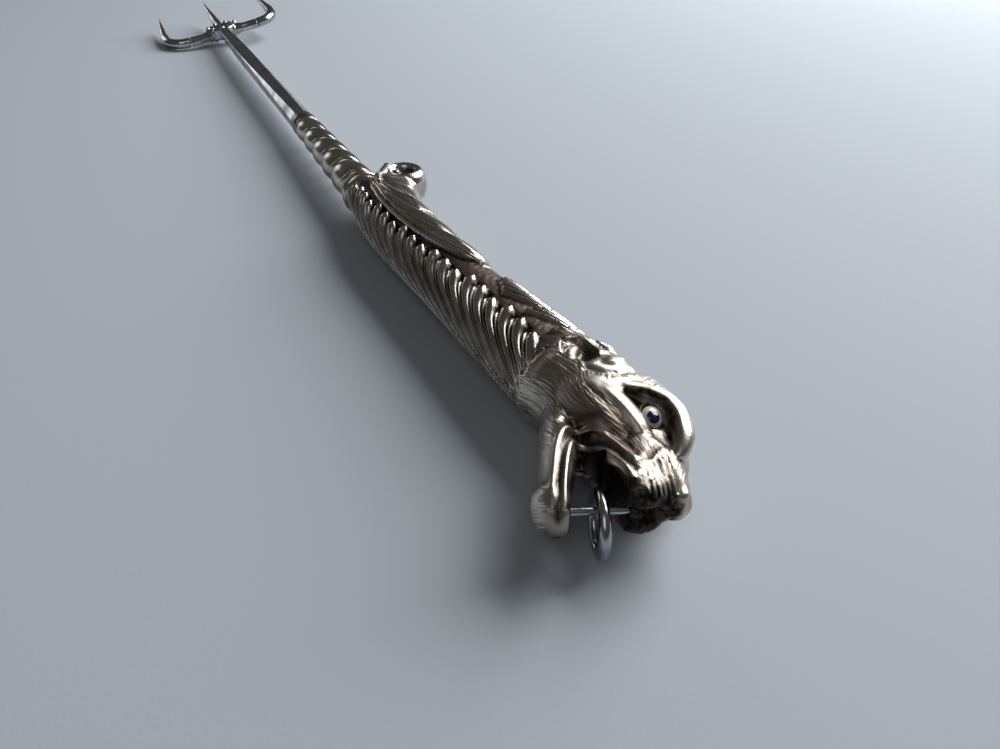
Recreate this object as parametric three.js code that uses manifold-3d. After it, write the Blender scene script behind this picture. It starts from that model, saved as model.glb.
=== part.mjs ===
// Toasting fork with a big cat's head on its handle, in silver plate. Millimetres, +Z up.
// It lies on its side as on a table: tines towards +Y, muzzle towards -Y, the back of the neck towards +X.
// The assembly is built about the shank's axis and is then tilted and lifted onto the table.
import * as THREE from 'three';
import { mergeVertices } from 'three/addons/utils/BufferGeometryUtils.js';
import Module from 'manifold-3d';

const wasm = await Module();
wasm.setup();

// Fits
const CLEARANCE = 0.3;

// Handle: two stamped half shells round a filler core
const HANDLE_START = 9;
const HANDLE_LENGTH = 95;
const HANDLE_START_RADIUS = 5.4;
const HANDLE_SWELL_RADIUS = 8.0;
const HANDLE_WAIST_RADIUS = 8.2;
const NECK_RADIUS = 9.4;
const SHOULDER_AT = 0.07;
const SHOULDER_SHARE = 0.45;
const SWELL_AT = 0.22;
const WAIST_AT = 0.55;
const NECK_RISE = 5.4;
const NECK_BEND = 1.5;
const SHELL_WALL = 1.2;

// Carving on the handle: places are counted from its start, and turns in degrees round it from the back
const CARVING_START = 0.06;
const CARVING_END = 0.03;
const GROUND_DEPTH = 0.7;
const LOBE_PITCH = 4.86;
const LOBE_FIRST = 8.8;
const LOBE_CREST = 0.3;
const LOBE_DEPTH = 1.2;
const LOBE_RISE = 14;
const LOBE_SWEEP = 0.0015;
const LOBE_SWEEP_GAIN = 0.000028;
const LOBE_SLOPE = 0.3;
const LOBE_HEADS = [[0, 121], [20, 124], [42, 121], [68, 106], [95, 106]];
const LEAF_LENGTH = 59;
const LEAF_RELIEF = 0.5;
const LEAF_BEVEL = 5;
const CORD_LINE = [[0, 70], [10, 98], [28, 108], [45, 99], [58, 79], [64, 52]];
const CORD_HALF_WIDTH = 10;
const CORD_RELIEF = 0.55;
const MANE_START = 75.5;
const LOCK_LENGTH = 8;
const LOCK_RELIEF = 0.35;
const LOCK_DIP = 0.45;
const LOCK_LOW_EDGE = 95;
const LOCK_HIGH_EDGE = 68;
const LOCK_BEVEL = 6;

// Scroll that ends the leaf, standing off the back of the handle
const SCROLL_RADIUS = 6.2;
const SCROLL_WIDTH = 9;
const SCROLL_SETBACK = -3;
const SCROLL_OFFSET = 12;
const SCROLL_EDGE = 1.2;
const SCROLL_EYE_RADIUS = 2.2;
const SCROLL_EYE_DEPTH = 1.1;
const SCROLL_TAIL = 6;
const SCROLL_FROM = -60;
const SCROLL_SWEEP = 310;
const SCROLL_TIGHTENING = 0.1;

// Collars and the twisted ferrule between handle and shank
const HANDLE_COLLAR_LENGTH = 3;
const HANDLE_COLLAR_DIAMETER = 12.4;
const FERRULE_LENGTH = 54;
const FERRULE_THICK_DIAMETER = 11.4;
const FERRULE_THIN_DIAMETER = 8.8;
const FERRULE_TURNS = 5;
const FERRULE_GROOVE = 1.1;
const SHANK_COLLAR_LENGTH = 8.5;
const SHANK_COLLAR_DIAMETER = 8.6;

// Shank: a tapered square bar with stopped chamfers and a round tang
const SHANK_LENGTH = 139.9;
const SHANK_THICK_SIDE = 7.2;
const SHANK_THIN_SIDE = 4.2;
const SHANK_CHAMFER = 2.1;
const SHANK_EDGE = 0.15;
const SHANK_CHAMFER_STOP = 92;
const TANG_DIAMETER = 4;
const TANG_DEPTH = 66;

// Trident: a pierced hub with two stub arms, and three tines brazed to it
const HUB_LENGTH = 11;
const HUB_WIDTH = 12;
const HUB_THICKNESS = 5;
const HUB_SOCKET_DEPTH = 4;
const HUB_HOLE_DIAMETER = 2.2;
const HUB_HOLE_SPREAD = 3.4;
const HUB_BEAD_DIAMETER = 2.2;
const ARM_THICKNESS = 3.4;
const ARM_REACH = 16;
const ARM_SWEEP = 2.5;
const ARM_BEND = 0.55;
const TINE_SPREAD = 25.2;
const TINE_LENGTH = 40;
const TINE_BASE_DIAMETER = 3.6;
const TINE_RISE = 5;
const TINE_LEAN = 1.5;
const TINE_TAPER = 1.5;
const TINE_TAPER_START = 0.35;
const TINE_BEND_START = 0.6;
const TINE_BEND_END = 0.2;
const TINE_BEND_LIFT = 0.4;
const TINE_HALF_RISE = 0.3;
const CENTRE_TINE_LENGTH = 43;
const TINE_TIP_DIAMETER = 0.5;
const TRIDENT_ROLL = 10;

// Head: forward runs from the neck joint to the muzzle, back is towards the nape, side is across
const SKULL = { forward: 9.5, back: 2, side: 0, length: 17, height: 9.8, width: 9.6 };
const NECK_COLLAR_LENGTH = 9;
const NECK_COLLAR_TAPER = 0.94;
const FOREHEAD = { forward: 15.5, back: 7.4, side: 0, length: 10.5, height: 6.4, width: 7.2 };
const CHEEK = { forward: 13.5, back: -1.4, side: 4.6, length: 10, height: 5.6, width: 4.8 };
const BROW = { forward: 20.5, back: 8, side: 5, length: 7, height: 3, width: 3.6 };
const MUZZLE = { forward: 26.6, back: -0.3, side: 0, length: 9.6, height: 5.8, width: 6.6 };
const UPPER_LIP = { forward: 30.4, back: -4, side: 3, length: 5, height: 3.6, width: 3.2 };
const NOSE = { forward: 33.8, back: 0, side: 0, length: 3, height: 3.2, width: 3.8 };
const JAW = { forward: 19.4, back: -12.2, side: 0, length: 15, height: 3.6, width: 6.2 };
const JAW_PITCH = 29;
const CHIN = { forward: 28.8, back: -17.6, side: 0, length: 4, height: 3.2, width: 4.8 };
const EAR = { forward: 5.6, back: 4.4, side: 6.6, length: 4, height: 5.2, width: 3.2 };
const EAR_HOLLOW_DEPTH = 2.2;
const EAR_WALL = 1;

// Mouth: a gap open on both sides, cut between the jaws
const MOUTH_CORNER = { forward: 19.2, back: -8.2 };
const MOUTH_ARCH = { forward: 28.6, back: 0.8 };
const MOUTH_UPPER_FRONT = { forward: 36, back: -7.7 };
const MOUTH_LOWER_FRONT = { forward: 33, back: -16.7 };
const MOUTH_LOWER_MIDDLE = { forward: 26.5, back: -12.8 };
const JAW_SEAM_LENGTH = 14;
const JAW_SEAM_LEAN = 6;
const JAW_SEAM_INSET = 1;
const JAW_SEAM_LIFT = 0.4;

// Eyes: glass set in thin bezels
const EYE = { forward: 20.7, back: 4.5, side: 4.6 };
const EYE_LOOK = { forward: 0.38, back: 0.3, side: 0.87 };
const EYE_RADIUS = 2.1;
const EYE_DOME = 1.5;
const EYE_THICKNESS = 1.6;
const BEZEL_WALL = 0.6;
const BEZEL_DEPTH = 1.4;

// Pin between the jaws and the ring that hangs on it
const PIN_DIAMETER = 1.4;
const PIN_UPPER = { forward: 33, back: -4.1 };
const PIN_LOWER = { forward: 27.4, back: -17 };
const PIN_SIDE = -0.8;
const RING_DIAMETER = 11.6;
const RING_WIRE_DIAMETER = 1.9;
const RING_SWING_CLEARANCE = 0.6;

// Silver plate, pitch and glass
const silver = new THREE.MeshStandardMaterial({ color: 0xb9b4aa, roughness: 0.22, metalness: 1 });
const oxidised = new THREE.MeshStandardMaterial({ color: 0x8e877b, roughness: 0.32, metalness: 1 });
const steel = new THREE.MeshStandardMaterial({ color: 0xa4a9ae, roughness: 0.2, metalness: 1 });
const pitch = new THREE.MeshStandardMaterial({ color: 0x2a1d16, roughness: 0.85, metalness: 0 });
const glass = new THREE.MeshStandardMaterial({ color: 0xd8d2c4, roughness: 0.08, metalness: 0 });

const V = (x, y, z) => new THREE.Vector3(x, y, z);
const radians = THREE.MathUtils.degToRad;
const mix = THREE.MathUtils.lerp;
const smoothstep = THREE.MathUtils.smoothstep;

// Value at x on a line of [x, value] points, level beyond both ends
function valueOn(line, x) {
  const after = line.findIndex(([place]) => place > x);
  if (after < 1) return line.at(after)[1];
  const [[x0, v0], [x1, v1]] = [line[after - 1], line[after]];
  return mix(v0, v1, (x - x0) / (x1 - x0));
}

// Closed solids

function closedGeometry(points, triangles) {
  const geometry = new THREE.BufferGeometry();
  const turned = signedVolume(points, triangles) < 0;
  const index = triangles.flatMap(([a, b, c]) => (turned ? [a, c, b] : [a, b, c]));
  geometry.setAttribute('position', new THREE.Float32BufferAttribute(points.flatMap((p) => p.toArray()), 3));
  geometry.setIndex(index);
  geometry.computeVertexNormals();
  return geometry;
}

function signedVolume(points, triangles) {
  const cross = V(0, 0, 0);
  let volume = 0;
  for (const [a, b, c] of triangles) volume += points[a].dot(cross.crossVectors(points[b], points[c])) / 6;
  return volume;
}

function sideTriangles(ringCount, sides) {
  const triangles = [];
  for (let i = 0; i + 1 < ringCount; i += 1) {
    for (let j = 0; j < sides; j += 1) {
      const a = i * sides + j;
      const b = i * sides + ((j + 1) % sides);
      triangles.push([a, b, b + sides], [a, b + sides, a + sides]);
    }
  }
  return triangles;
}

// Rings of points joined in order, with a flat fan over each end
function loft(rings) {
  const sides = rings[0].length;
  const points = rings.flat();
  const triangles = sideTriangles(rings.length, sides);
  const last = (rings.length - 1) * sides;
  for (const [start, turn] of [[0, 1], [last, -1]]) {
    const centre = V(0, 0, 0);
    for (let j = 0; j < sides; j += 1) centre.add(points[start + j]);
    points.push(centre.divideScalar(sides));
    for (let j = 0; j < sides; j += 1) {
      const edge = [start + j, start + ((j + 1) % sides)];
      const [near, far] = turn > 0 ? [edge[1], edge[0]] : edge;
      triangles.push([points.length - 1, near, far]);
    }
  }
  return closedGeometry(points, triangles);
}

// Channel sections, each an outer arc and the inner arc back, joined in order and closed at both ends
function channelLoft(sections) {
  const { isClockWise, triangulateShape } = THREE.ShapeUtils;
  const sides = sections[0].length;
  const triangles = sideTriangles(sections.length, sides);
  const last = (sections.length - 1) * sides;
  for (const start of [0, last]) {
    const outline = sections[start / sides].map((p) => new THREE.Vector2(p.x, p.z));
    for (const face of triangulateShape(outline, [])) {
      const onward = isClockWise(face.map((corner) => outline[corner])) === isClockWise(outline);
      const corners = face.map((corner) => corner + start);
      triangles.push(onward === (start === last) ? corners : corners.reverse());
    }
  }
  return closedGeometry(sections.flat(), triangles);
}

// A bar with a many-sided section along a curve, its half size given along the way
function taperedBar(curve, steps, sides, halfSize) {
  const rings = [];
  for (let i = 0; i <= steps; i += 1) {
    const t = i / steps;
    const centre = curve.getPoint(t);
    const along = curve.getTangent(t).normalize();
    const across = V(0, 0, 1).cross(along).normalize();
    const up = along.clone().cross(across);
    const size = halfSize(t);
    rings.push(Array.from({ length: sides }, (_, j) => {
      const angle = (2 * Math.PI * (j + 0.5)) / sides;
      return centre.clone()
        .addScaledVector(across, size * Math.cos(angle))
        .addScaledVector(up, size * Math.sin(angle));
    }));
  }
  return loft(rings);
}

function solid(geometry) {
  const bare = geometry.clone();
  bare.deleteAttribute('normal');
  bare.deleteAttribute('uv');
  const merged = mergeVertices(bare, 1e-5);
  const triVerts = new Uint32Array(merged.index.array);
  const vertProperties = new Float32Array(merged.attributes.position.array);
  return new wasm.Manifold(new wasm.Mesh({ numProp: 3, vertProperties, triVerts }));
}

function geometryOf(body) {
  const { vertProperties, triVerts } = body.getMesh();
  const geometry = new THREE.BufferGeometry();
  geometry.setAttribute('position', new THREE.Float32BufferAttribute(vertProperties, 3));
  geometry.setIndex([...triVerts]);
  geometry.computeVertexNormals();
  return geometry;
}

const lessTools = (body, tools) => tools.reduce((rest, tool) => rest.subtract(solid(tool)), body);
const cut = (geometry, ...tools) => geometryOf(lessTools(solid(geometry), tools));
const joined = (geometries) => geometries.map(solid).reduce((body, other) => body.add(other));

// A round rod between two points
function rod(from, to, radius, sides = 16) {
  const along = to.clone().sub(from);
  const geometry = new THREE.CylinderGeometry(radius, radius, along.length(), sides);
  geometry.applyQuaternion(new THREE.Quaternion().setFromUnitVectors(V(0, 1, 0), along.clone().normalize()));
  geometry.translate(...from.clone().add(to).multiplyScalar(0.5).toArray());
  return geometry;
}

// A ring of revolution about the fork's axis, from a profile of [radius, y] points that closes on itself
function turned(profile, segments = 32) {
  const closed = [...profile, profile[0]].map(([radius, y]) => new THREE.Vector2(radius, y));
  return new THREE.LatheGeometry(closed, segments);
}

// Handle

const handleProfile = new THREE.SplineCurve([
  new THREE.Vector2(0, HANDLE_START_RADIUS),
  new THREE.Vector2(SHOULDER_AT, mix(HANDLE_START_RADIUS, HANDLE_SWELL_RADIUS, SHOULDER_SHARE)),
  new THREE.Vector2(SWELL_AT, HANDLE_SWELL_RADIUS),
  new THREE.Vector2(WAIST_AT, HANDLE_WAIST_RADIUS),
  new THREE.Vector2(1, NECK_RADIUS),
]);
const handleRadii = handleProfile.getPoints(200).map((p) => p.toArray());
const handleRadius = (t) => valueOn(handleRadii, t);
const handleCentre = (t) => V(NECK_RISE * t ** NECK_BEND, -HANDLE_START - t * HANDLE_LENGTH, 0);

// How far a lobe has swept towards the head at some turn past its own start
function lobeSweep(place, past) {
  const gain = LOBE_SWEEP + LOBE_SWEEP_GAIN * place;
  const knee = Math.min(past, LOBE_SLOPE / (2 * gain));
  return gain * knee ** 2 + LOBE_SLOPE * (past - knee);
}

// Lobes on the throat's side, above a sunk ground
function lobeHeight(place, turn) {
  const start = valueOn(LOBE_HEADS, place);
  const past = Math.max(0, turn - start);
  const across = (place - lobeSweep(place, past) - LOBE_FIRST) / LOBE_PITCH;
  const crest = LOBE_CREST - LOBE_DEPTH * (1 - Math.abs(Math.cos(Math.PI * across)));
  return mix(-GROUND_DEPTH, crest, smoothstep(turn, start, start + LOBE_RISE));
}

// Locks of the mane, one behind the other along the back: how much of a lock is here, and how high it is
function maneLock(place, turn) {
  const count = (place - MANE_START) / LOCK_LENGTH;
  const within = count < 0 ? -count : count % 1;
  const edge = mix(LOCK_LOW_EDGE, LOCK_HIGH_EDGE, within);
  const share = count > -1 ? smoothstep(edge - turn, 0, LOCK_BEVEL) : 0;
  return { share, height: LOCK_RELIEF * (1 - LOCK_DIP * within) };
}

// Carved height: ground and lobes, then the leaf with the cord along its edge, then the mane
function handleRelief(t, angle) {
  const place = t * HANDLE_LENGTH;
  const turn = THREE.MathUtils.radToDeg(angle);
  const inside = valueOn(CORD_LINE, place) - turn;
  const leafEnd = 1 - smoothstep(place, LEAF_LENGTH - LEAF_BEVEL, LEAF_LENGTH);
  const leaf = leafEnd * smoothstep(inside, 0, LEAF_BEVEL);
  const cord = leafEnd * CORD_RELIEF * Math.sqrt(Math.max(0, 1 - (inside / CORD_HALF_WIDTH) ** 2));
  const lock = maneLock(place, turn);
  let height = mix(lobeHeight(place, turn), LEAF_RELIEF, leaf);
  if (cord > 0) height = Math.max(height, cord);
  height = mix(height, lock.height, lock.share);
  return height * Math.min(1, t / CARVING_START, (1 - t) / CARVING_END);
}

function handlePoint(t, angle, radius, side) {
  return handleCentre(t).add(V(radius * Math.cos(angle), 0, side * radius * Math.sin(angle)));
}

const shellInset = SHELL_WALL + GROUND_DEPTH;

// Half a shell, on the upper or the lower side of the seam that runs along back and throat
function handleShell(side) {
  const stations = 80;
  const seam = V(0, 0, (side * CLEARANCE) / 2);
  const fineFrom = Math.PI / 2;
  const steps = (from, to, count) => Array.from({ length: count }, (_, k) => mix(from, to, k / count));
  const outerAngles = [...steps(0, fineFrom, 7), ...steps(fineFrom, Math.PI, 17), Math.PI];
  const innerAngles = [...steps(Math.PI, 0, 9), 0];
  const sections = Array.from({ length: stations + 1 }, (_, i) => {
    const t = i / stations;
    const outer = outerAngles.map((a) => handlePoint(t, a, handleRadius(t) + handleRelief(t, a), side));
    const inner = innerAngles.map((a) => handlePoint(t, a, handleRadius(t) - shellInset, side));
    return [...outer, ...inner].map((point) => point.add(seam));
  });
  return channelLoft(sections);
}

// The whole handle without carving, drawn in or out by an offset
function handleBody(offset, ends = 0) {
  const stations = 14;
  const sides = 18;
  const rings = Array.from({ length: stations + 1 }, (_, i) => {
    const t = i / stations;
    const stretch = V(0, i === 0 ? ends : i === stations ? -ends : 0, 0);
    return Array.from({ length: sides }, (_, j) => (
      handlePoint(t, (2 * Math.PI * j) / sides, handleRadius(t) + offset, 1).add(stretch)
    ));
  });
  return loft(rings);
}

function fillerCore() {
  return cut(handleBody(-shellInset - CLEARANCE, -CLEARANCE), tangBore);
}

// The rolled end of the leaf: a snail outline in the plane of the seam, with a tail onto the handle
function leafScroll() {
  const steps = 30;
  const outline = new THREE.Shape();
  const centre = new THREE.Vector2(SCROLL_OFFSET, -HANDLE_START - SCROLL_SETBACK);
  for (let i = 0; i <= steps; i += 1) {
    const angle = radians(SCROLL_FROM + (SCROLL_SWEEP * i) / steps);
    const radius = SCROLL_RADIUS * (1 - (SCROLL_TIGHTENING * i) / steps);
    const point = [centre.x + radius * Math.cos(angle), centre.y + radius * Math.sin(angle)];
    if (i === 0) outline.moveTo(...point);
    else outline.lineTo(...point);
  }
  const tail = handleCentre(SCROLL_TAIL / HANDLE_LENGTH);
  outline.lineTo(tail.x + HANDLE_START_RADIUS, tail.y + SCROLL_RADIUS);
  outline.lineTo(tail.x + HANDLE_START_RADIUS, tail.y - SCROLL_TAIL);
  outline.closePath();
  const body = new THREE.ExtrudeGeometry(outline, {
    depth: SCROLL_WIDTH - 2 * SCROLL_EDGE,
    bevelThickness: SCROLL_EDGE,
    bevelSize: SCROLL_EDGE,
    bevelOffset: -SCROLL_EDGE,
    bevelSegments: 2,
  });
  body.translate(0, 0, -SCROLL_WIDTH / 2 + SCROLL_EDGE);
  const dimples = [-1, 1].map((side) => {
    const face = V(centre.x, centre.y, (side * SCROLL_WIDTH) / 2);
    const floor = V(centre.x, centre.y, side * (SCROLL_WIDTH / 2 - SCROLL_EYE_DEPTH));
    return rod(floor, face.add(V(0, 0, side)), SCROLL_EYE_RADIUS);
  });
  return cut(body, handleBody(LEAF_RELIEF + CLEARANCE, 2 * SCROLL_RADIUS), ...dimples);
}

// Collars and ferrule, on the axis beyond the handle

const collarStart = -HANDLE_START + CLEARANCE;
const ferruleStart = collarStart + HANDLE_COLLAR_LENGTH + CLEARANCE;
const shankCollarStart = ferruleStart + FERRULE_LENGTH + CLEARANCE;
const shankStart = shankCollarStart + SHANK_COLLAR_LENGTH + CLEARANCE;
const boreRadius = TANG_DIAMETER / 2 + CLEARANCE;
const tangBore = rod(V(0, -TANG_DEPTH - CLEARANCE, 0), V(0, shankStart + CLEARANCE, 0), boreRadius);

// A bead-edged ring on the tang
function collar(start, length, diameter) {
  const rim = diameter / 2;
  const swell = Math.min(length, rim) / 4;
  return turned([
    [boreRadius, start],
    [rim - swell, start],
    [rim, start + swell],
    [rim, start + length - swell],
    [rim - swell, start + length],
    [boreRadius, start + length],
  ]);
}

// One round strand wound up the tang, thinner towards the shank
function twistedFerrule() {
  const stations = 12 * FERRULE_TURNS;
  const sides = 24;
  const rings = Array.from({ length: stations + 1 }, (_, i) => {
    const t = i / stations;
    const radius = mix(FERRULE_THICK_DIAMETER, FERRULE_THIN_DIAMETER, t) / 2;
    return Array.from({ length: sides }, (_, j) => {
      const angle = (2 * Math.PI * j) / sides;
      const strand = Math.abs(Math.sin(Math.PI * FERRULE_TURNS * t - angle / 2));
      const r = radius - FERRULE_GROOVE * (1 - strand);
      return V(r * Math.cos(angle), ferruleStart + t * FERRULE_LENGTH, r * Math.sin(angle));
    });
  });
  return cut(loft(rings), tangBore);
}

// Shank and trident, rolled together about the axis

const shankEnd = shankStart + SHANK_LENGTH;
const hubStart = shankEnd - HUB_SOCKET_DEPTH;
const hubCentre = hubStart + HUB_LENGTH / 2;

// Eight corners of a square with cut edges; the chamfer fades out before the hub
function barSection(y, side, chamfer) {
  const half = side / 2;
  const flat = half - chamfer;
  const corners = [[half, flat], [flat, half], [-flat, half], [-half, flat]];
  return [...corners, ...corners.map(([x, z]) => [-x, -z])].map(([x, z]) => V(x, y, z));
}

const shankSide = (y) => mix(SHANK_THICK_SIDE, SHANK_THIN_SIDE, (y - shankStart) / SHANK_LENGTH);

function shank() {
  const chamferStop = shankStart + SHANK_CHAMFER_STOP;
  const bar = loft([
    barSection(shankStart, SHANK_THICK_SIDE, SHANK_CHAMFER),
    barSection(chamferStop, shankSide(chamferStop), SHANK_EDGE),
    barSection(shankEnd, SHANK_THIN_SIDE, SHANK_EDGE),
  ]);
  const tang = rod(V(0, -TANG_DEPTH, 0), V(0, shankStart + TANG_DIAMETER, 0), TANG_DIAMETER / 2);
  return geometryOf(joined([bar, tang]));
}

// Stub arms sweep back a little from the hub to the brazed joints
const armCurve = (side) => new THREE.QuadraticBezierCurve3(
  V(0, hubCentre, 0),
  V(side * ARM_BEND * ARM_REACH, hubCentre - ARM_SWEEP, 0),
  V(side * (ARM_REACH - CLEARANCE / 2), hubCentre - ARM_SWEEP, 0),
);

function hub() {
  const plate = new THREE.Shape();
  const half = HUB_WIDTH / 2;
  plate.moveTo(-half / 2, hubStart);
  plate.lineTo(half / 2, hubStart);
  plate.quadraticCurveTo(half, hubStart + HUB_LENGTH / 4, half, hubCentre);
  plate.quadraticCurveTo(half, hubStart + HUB_LENGTH, half / 3, hubStart + HUB_LENGTH);
  plate.lineTo(-half / 3, hubStart + HUB_LENGTH);
  plate.quadraticCurveTo(-half, hubStart + HUB_LENGTH, -half, hubCentre);
  plate.quadraticCurveTo(-half, hubStart + HUB_LENGTH / 4, -half / 2, hubStart);
  const sheet = { depth: HUB_THICKNESS, bevelEnabled: false, curveSegments: 6 };
  const body = new THREE.ExtrudeGeometry(plate, sheet);
  body.translate(0, 0, -HUB_THICKNESS / 2);
  const arms = [-1, 1].map((side) => taperedBar(armCurve(side), 6, 8, () => ARM_THICKNESS / 2));
  const beads = [[-1, -1], [1, -1], [0, 1]].map(([x, y]) => {
    const bead = new THREE.SphereGeometry(HUB_BEAD_DIAMETER / 2, 10, 8);
    return bead.translate(x * HUB_HOLE_SPREAD, hubCentre + y * HUB_BEAD_DIAMETER, HUB_THICKNESS / 2);
  });
  const through = HUB_THICKNESS + HUB_BEAD_DIAMETER;
  const holes = [-1, 1].map((side) => {
    const x = side * HUB_HOLE_SPREAD;
    const y = hubCentre + HUB_HOLE_DIAMETER / 2;
    return rod(V(x, y, -through), V(x, y, through), HUB_HOLE_DIAMETER / 2, 10);
  });
  const socket = loft([
    barSection(hubStart - CLEARANCE, shankSide(hubStart - CLEARANCE) + 2 * CLEARANCE, CLEARANCE),
    barSection(shankEnd + CLEARANCE, SHANK_THIN_SIDE + 2 * CLEARANCE, CLEARANCE),
  ]);
  const tineSeat = rod(V(0, tineStart - CLEARANCE, 0), V(0, hubStart + 2 * HUB_LENGTH, 0),
    TINE_BASE_DIAMETER / 2 + CLEARANCE);
  return cut(geometryOf(joined([body, ...arms, ...beads])), socket, tineSeat, ...holes);
}

const tineStart = hubStart + HUB_LENGTH - TINE_BASE_DIAMETER / 2;
const tineSize = (t) => mix(TINE_BASE_DIAMETER, TINE_TIP_DIAMETER, t ** TINE_TAPER) / 2;

function centreTine() {
  const tip = tineStart + CENTRE_TINE_LENGTH;
  const curve = new THREE.QuadraticBezierCurve3(
    V(0, tineStart, 0),
    V(0, mix(tineStart, tip, 0.5), 0),
    V(0, tip, TINE_RISE),
  );
  return taperedBar(curve, 10, 8, tineSize);
}

// A side tine leaves the brazed joint across the fork, turns forward and rises to its point
function sideTine(side) {
  const jointY = hubCentre - ARM_SWEEP;
  const tipY = jointY + TINE_LENGTH;
  const curve = new THREE.CatmullRomCurve3([
    V(side * (ARM_REACH + CLEARANCE / 2), jointY, 0),
    V(side * mix(ARM_REACH, TINE_SPREAD, TINE_BEND_START), jointY + TINE_BEND_LIFT, 0),
    V(side * TINE_SPREAD, jointY + TINE_BEND_END * TINE_LENGTH, 0),
    V(side * TINE_SPREAD, mix(jointY, tipY, 0.5), TINE_HALF_RISE * TINE_RISE),
    V(side * (TINE_SPREAD - TINE_LEAN), tipY, TINE_RISE),
  ]);
  const taperShare = (t) => (t - TINE_TAPER_START) / (1 - TINE_TAPER_START);
  const size = (t) => (t < TINE_TAPER_START ? ARM_THICKNESS / 2 : tineSize(taperShare(t)));
  return taperedBar(curve, 18, 8, size);
}

// Head: joined rounded masses in the head's own directions, with the mouth, sockets and bores cut out

const neckEnd = handleCentre(1).add(V(0, -CLEARANCE, 0));
const headPoint = ({ forward, back, side = 0 }) => neckEnd.clone().add(V(back, -forward, side));

function mass(shape, side = 1, pitchAngle = 0) {
  const ball = new THREE.SphereGeometry(1, 18, 10);
  ball.rotateX(Math.PI / 2);
  ball.scale(shape.height, shape.length, shape.width);
  ball.rotateZ(-radians(pitchAngle));
  return ball.translate(...headPoint({ ...shape, side: side * shape.side }).toArray());
}

const bothSides = (shape) => [mass(shape, 1), mass(shape, -1)];

// The neck's end, drawn into the skull
function neckStub() {
  const sides = 24;
  const ring = (forward, radius, shift) => Array.from({ length: sides }, (_, j) => {
    const angle = (2 * Math.PI * j) / sides;
    return headPoint({ forward, back: shift + radius * Math.cos(angle), side: radius * Math.sin(angle) });
  });
  const mouth = ring(NECK_COLLAR_LENGTH, NECK_RADIUS * NECK_COLLAR_TAPER, SKULL.back);
  return loft([ring(0, NECK_RADIUS, 0), mouth]);
}

// A region of the head's profile, as a prism across the whole head
function profilePrism(shape) {
  const span = 4 * SKULL.width;
  const prism = new THREE.ExtrudeGeometry(shape, { depth: span, bevelEnabled: false, curveSegments: 8 });
  return prism.translate(0, 0, -span / 2);
}

const flat = (place) => {
  const point = headPoint(place);
  return [point.x, point.y];
};

function mouthGap() {
  const shape = new THREE.Shape();
  const beyond = MUZZLE.forward + 3 * MUZZLE.length;
  shape.moveTo(...flat(MOUTH_CORNER));
  shape.quadraticCurveTo(...flat(MOUTH_ARCH), ...flat(MOUTH_UPPER_FRONT));
  shape.lineTo(...flat({ forward: beyond, back: MOUTH_UPPER_FRONT.back }));
  shape.lineTo(...flat({ forward: beyond, back: MOUTH_LOWER_FRONT.back }));
  shape.lineTo(...flat(MOUTH_LOWER_FRONT));
  shape.quadraticCurveTo(...flat(MOUTH_LOWER_MIDDLE), ...flat(MOUTH_CORNER));
  return profilePrism(shape);
}

// Everything on the handle's side of the neck joint
function behindNeck() {
  const shape = new THREE.Shape();
  const reach = 2 * SKULL.length;
  shape.moveTo(...flat({ forward: 0, back: -reach }));
  shape.lineTo(...flat({ forward: 0, back: reach }));
  shape.lineTo(...flat({ forward: -reach, back: reach }));
  shape.lineTo(...flat({ forward: -reach, back: -reach }));
  return profilePrism(shape);
}

// The part of the profile below the mouth and in front of the solder seam at the jaw's root
function jawRegion(gap) {
  const shape = new THREE.Shape();
  const beyond = MUZZLE.forward + 3 * MUZZLE.length;
  const seam = MOUTH_CORNER.forward + JAW_SEAM_INSET - gap;
  const below = MOUTH_CORNER.back - 4 * JAW_SEAM_LENGTH;
  const corner = MOUTH_CORNER.back + JAW_SEAM_LIFT;
  shape.moveTo(...flat({ forward: seam, back: corner }));
  shape.lineTo(...flat({ forward: seam - JAW_SEAM_LEAN, back: corner - JAW_SEAM_LENGTH }));
  shape.lineTo(...flat({ forward: seam - JAW_SEAM_LEAN, back: below }));
  shape.lineTo(...flat({ forward: beyond, back: below }));
  shape.lineTo(...flat({ forward: beyond, back: mix(MOUTH_UPPER_FRONT.back, MOUTH_LOWER_FRONT.back, 0.5) }));
  return profilePrism(shape);
}

const pinUpper = headPoint({ ...PIN_UPPER, side: PIN_SIDE });
const pinLower = headPoint({ ...PIN_LOWER, side: PIN_SIDE });
const pinAlong = pinLower.clone().sub(pinUpper).normalize();

function pinBore() {
  const from = pinUpper.clone().addScaledVector(pinAlong, -CLEARANCE);
  const to = pinLower.clone().addScaledVector(pinAlong, CLEARANCE);
  return rod(from, to, PIN_DIAMETER / 2 + CLEARANCE, 12);
}

const ringMiddle = (RING_DIAMETER - RING_WIRE_DIAMETER) / 2;
const ringDrop = ringMiddle - RING_WIRE_DIAMETER / 2 - PIN_DIAMETER / 2 - CLEARANCE;
const ringPlace = pinUpper.clone().add(pinLower).multiplyScalar(0.5);

// Room in the throat for the ring to turn right round the pin
function swingRoom() {
  const half = RING_WIRE_DIAMETER / 2 + RING_SWING_CLEARANCE;
  const reach = ringDrop + RING_DIAMETER / 2 + RING_SWING_CLEARANCE;
  const from = ringPlace.clone().addScaledVector(pinAlong, -half);
  const to = ringPlace.clone().addScaledVector(pinAlong, half);
  return rod(from, to, reach, 24);
}

const lookOf = (side) => V(EYE_LOOK.back, -EYE_LOOK.forward, side * EYE_LOOK.side).normalize();
const eyeSeat = (side) => headPoint({ ...EYE, side: side * EYE.side });
const bezelRadius = EYE_RADIUS + CLEARANCE + BEZEL_WALL;

function eyeSocket(side) {
  const floor = eyeSeat(side);
  const open = floor.clone().addScaledVector(lookOf(side), 2 * SKULL.width);
  return rod(floor.addScaledVector(lookOf(side), -CLEARANCE), open, bezelRadius + CLEARANCE, 20);
}

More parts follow.
